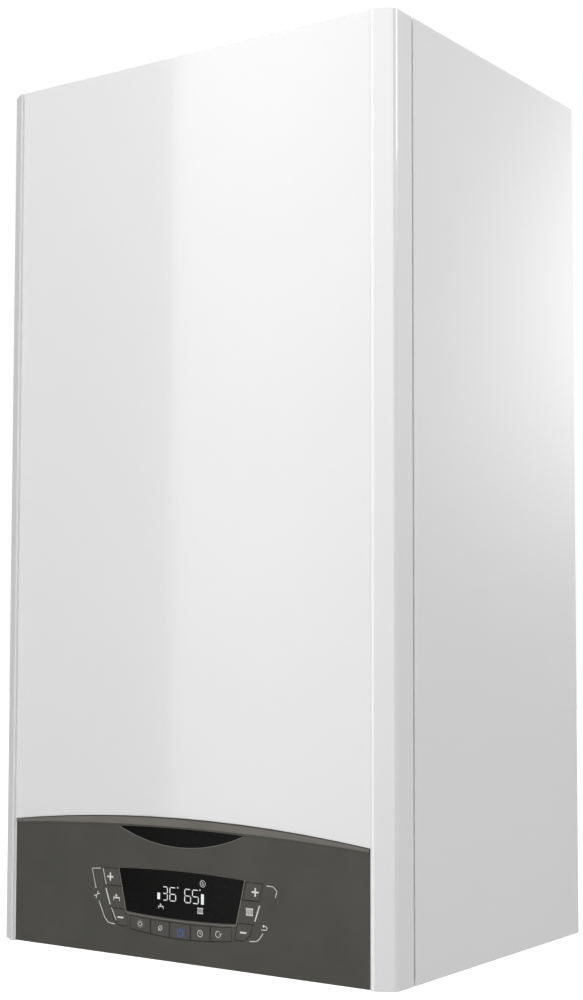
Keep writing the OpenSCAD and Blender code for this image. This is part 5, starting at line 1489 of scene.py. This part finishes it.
@dataclass
class Studio:
    """Pale floor, soft lights, white surroundings and the camera."""

    floor_z: float = -1.25
    floor_size: float = 60.0
    eye: Place = (0.86735, -1.40712, 0.26559)
    azimuth: float = 34.73
    pitch: float = 3.74
    roll: float = 0.0019
    lens: float = 61.39
    shift: Point = (-0.00317, 0.02118)
    surround: float = 0.345
    backdrop: float = 3.6
    backdrop_edge: Point = (0.84, 0.94)
    haze: Point = (-0.02, 0.26)
    haze_foot: float = 0.04
    lamps: tuple[Lamp, ...] = (
        Lamp("front_box", (-1.075, -1.95, 0.6), (-1.075, 0.0, 0.6), (0.5, 2.6), 12.7, 0.3),
        Lamp("near_box", (0.55, -1.95, 0.9), (0.2, -0.3, 0.6), (0.5, 1.4), 6.5),
        Lamp("facet_box", (1.11, -1.95, 0.6), (0.2, -0.3, 0.6), (0.5, 2.4), 10.9, 0.2, True),
        Lamp("edge_box", (-0.03, -1.95, 0.5), (0.18, -0.3, 0.5), (0.5, 2.4), 14.5, 0.6, True),
        Lamp("over_front", (0.0, -2.0, 2.6), (0.0, -0.2, 0.4), (2.0, 1.0), 26.5),
        Lamp("right_rear", (2.0, 0.6, 1.7), (0.2, -0.1, 0.6), (1.0, 1.0), 22.7),
    )

    def build(self) -> None:
        """Builds the floor, the lights, the surroundings and the camera."""
        self.floor()
        for lamp in self.lamps:
            lamp.build()
        self.air()
        self.camera()

    def floor(self) -> None:
        """Adds a pale floor that runs far back."""
        below = (0, 0, self.floor_z)
        floor = begin("floor", bpy.ops.mesh.primitive_plane_add, size=self.floor_size, location=below)
        floor.data.materials.append(Palette.floor.material())

    def air(self) -> None:
        """Lights the surroundings evenly and from behind, plain white where the camera sees them."""
        world = bpy.data.worlds.new("studio")
        bpy.context.scene.world = world
        world.use_nodes = True
        tree = world.node_tree
        way = add_node(tree, "SeparateXYZ", {0: add_node(tree, "TexCoord", {}).outputs["Generated"]})
        ranges = []
        for axis, ends, to in (
            ("Y", self.backdrop_edge, (0, self.backdrop)),
            ("Z", self.haze, (self.haze_foot, 1)),
        ):
            limits = {"From Min": ends[0], "From Max": ends[1], "To Min": to[0], "To Max": to[1]}
            inputs = {"Value": way.outputs[axis], **limits}
            ranges.append(add_node(tree, "MapRange", inputs, interpolation_type="SMOOTHSTEP").outputs[0])
        parts = {0: ranges[0], 1: ranges[1], 2: self.surround}
        glow = add_node(tree, "Math", parts, operation="MULTIPLY_ADD").outputs[0]
        seen = add_node(tree, "LightPath", {}).outputs["Is Camera Ray"]
        strength = add_node(tree, "MapRange", {"Value": seen, "To Min": glow, "To Max": 1.0}).outputs[0]
        feed(tree, tree.nodes["Background"], {"Color": (1, 1, 1, 1), "Strength": strength})
        bpy.context.scene.view_settings.view_transform = "Standard"

    def camera(self) -> None:
        """Places the camera where the photograph was taken from."""
        data = bpy.data.cameras.new("camera")
        data.lens, data.sensor_width = self.lens, 36
        data.shift_x, data.shift_y = self.shift
        data.clip_start = 0.05
        camera = bpy.data.objects.new("camera", data)
        yaw, pitch = math.radians(self.azimuth), math.radians(self.pitch)
        level = math.cos(pitch)
        ahead = Vector((-math.sin(yaw) * level, math.cos(yaw) * level, math.sin(pitch)))
        turn = ahead.to_track_quat("-Z", "Y").to_matrix() @ Matrix.Rotation(self.roll, 3, "Z")
        camera.matrix_world = Matrix.Translation(self.eye) @ turn.to_4x4()
        bpy.context.scene.collection.objects.link(camera)
        bpy.context.scene.camera = camera


def main() -> None:
    """Builds every sub-assembly and the studio."""
    logging.basicConfig(level=logging.INFO, format="%(message)s")
    for part in (Casing(), ControlPanel(), Chamber(), Waterways(), Studio()):
        LOG.info("building %s", type(part).__name__)
        part.build()


if __name__ == "__main__":
    main()
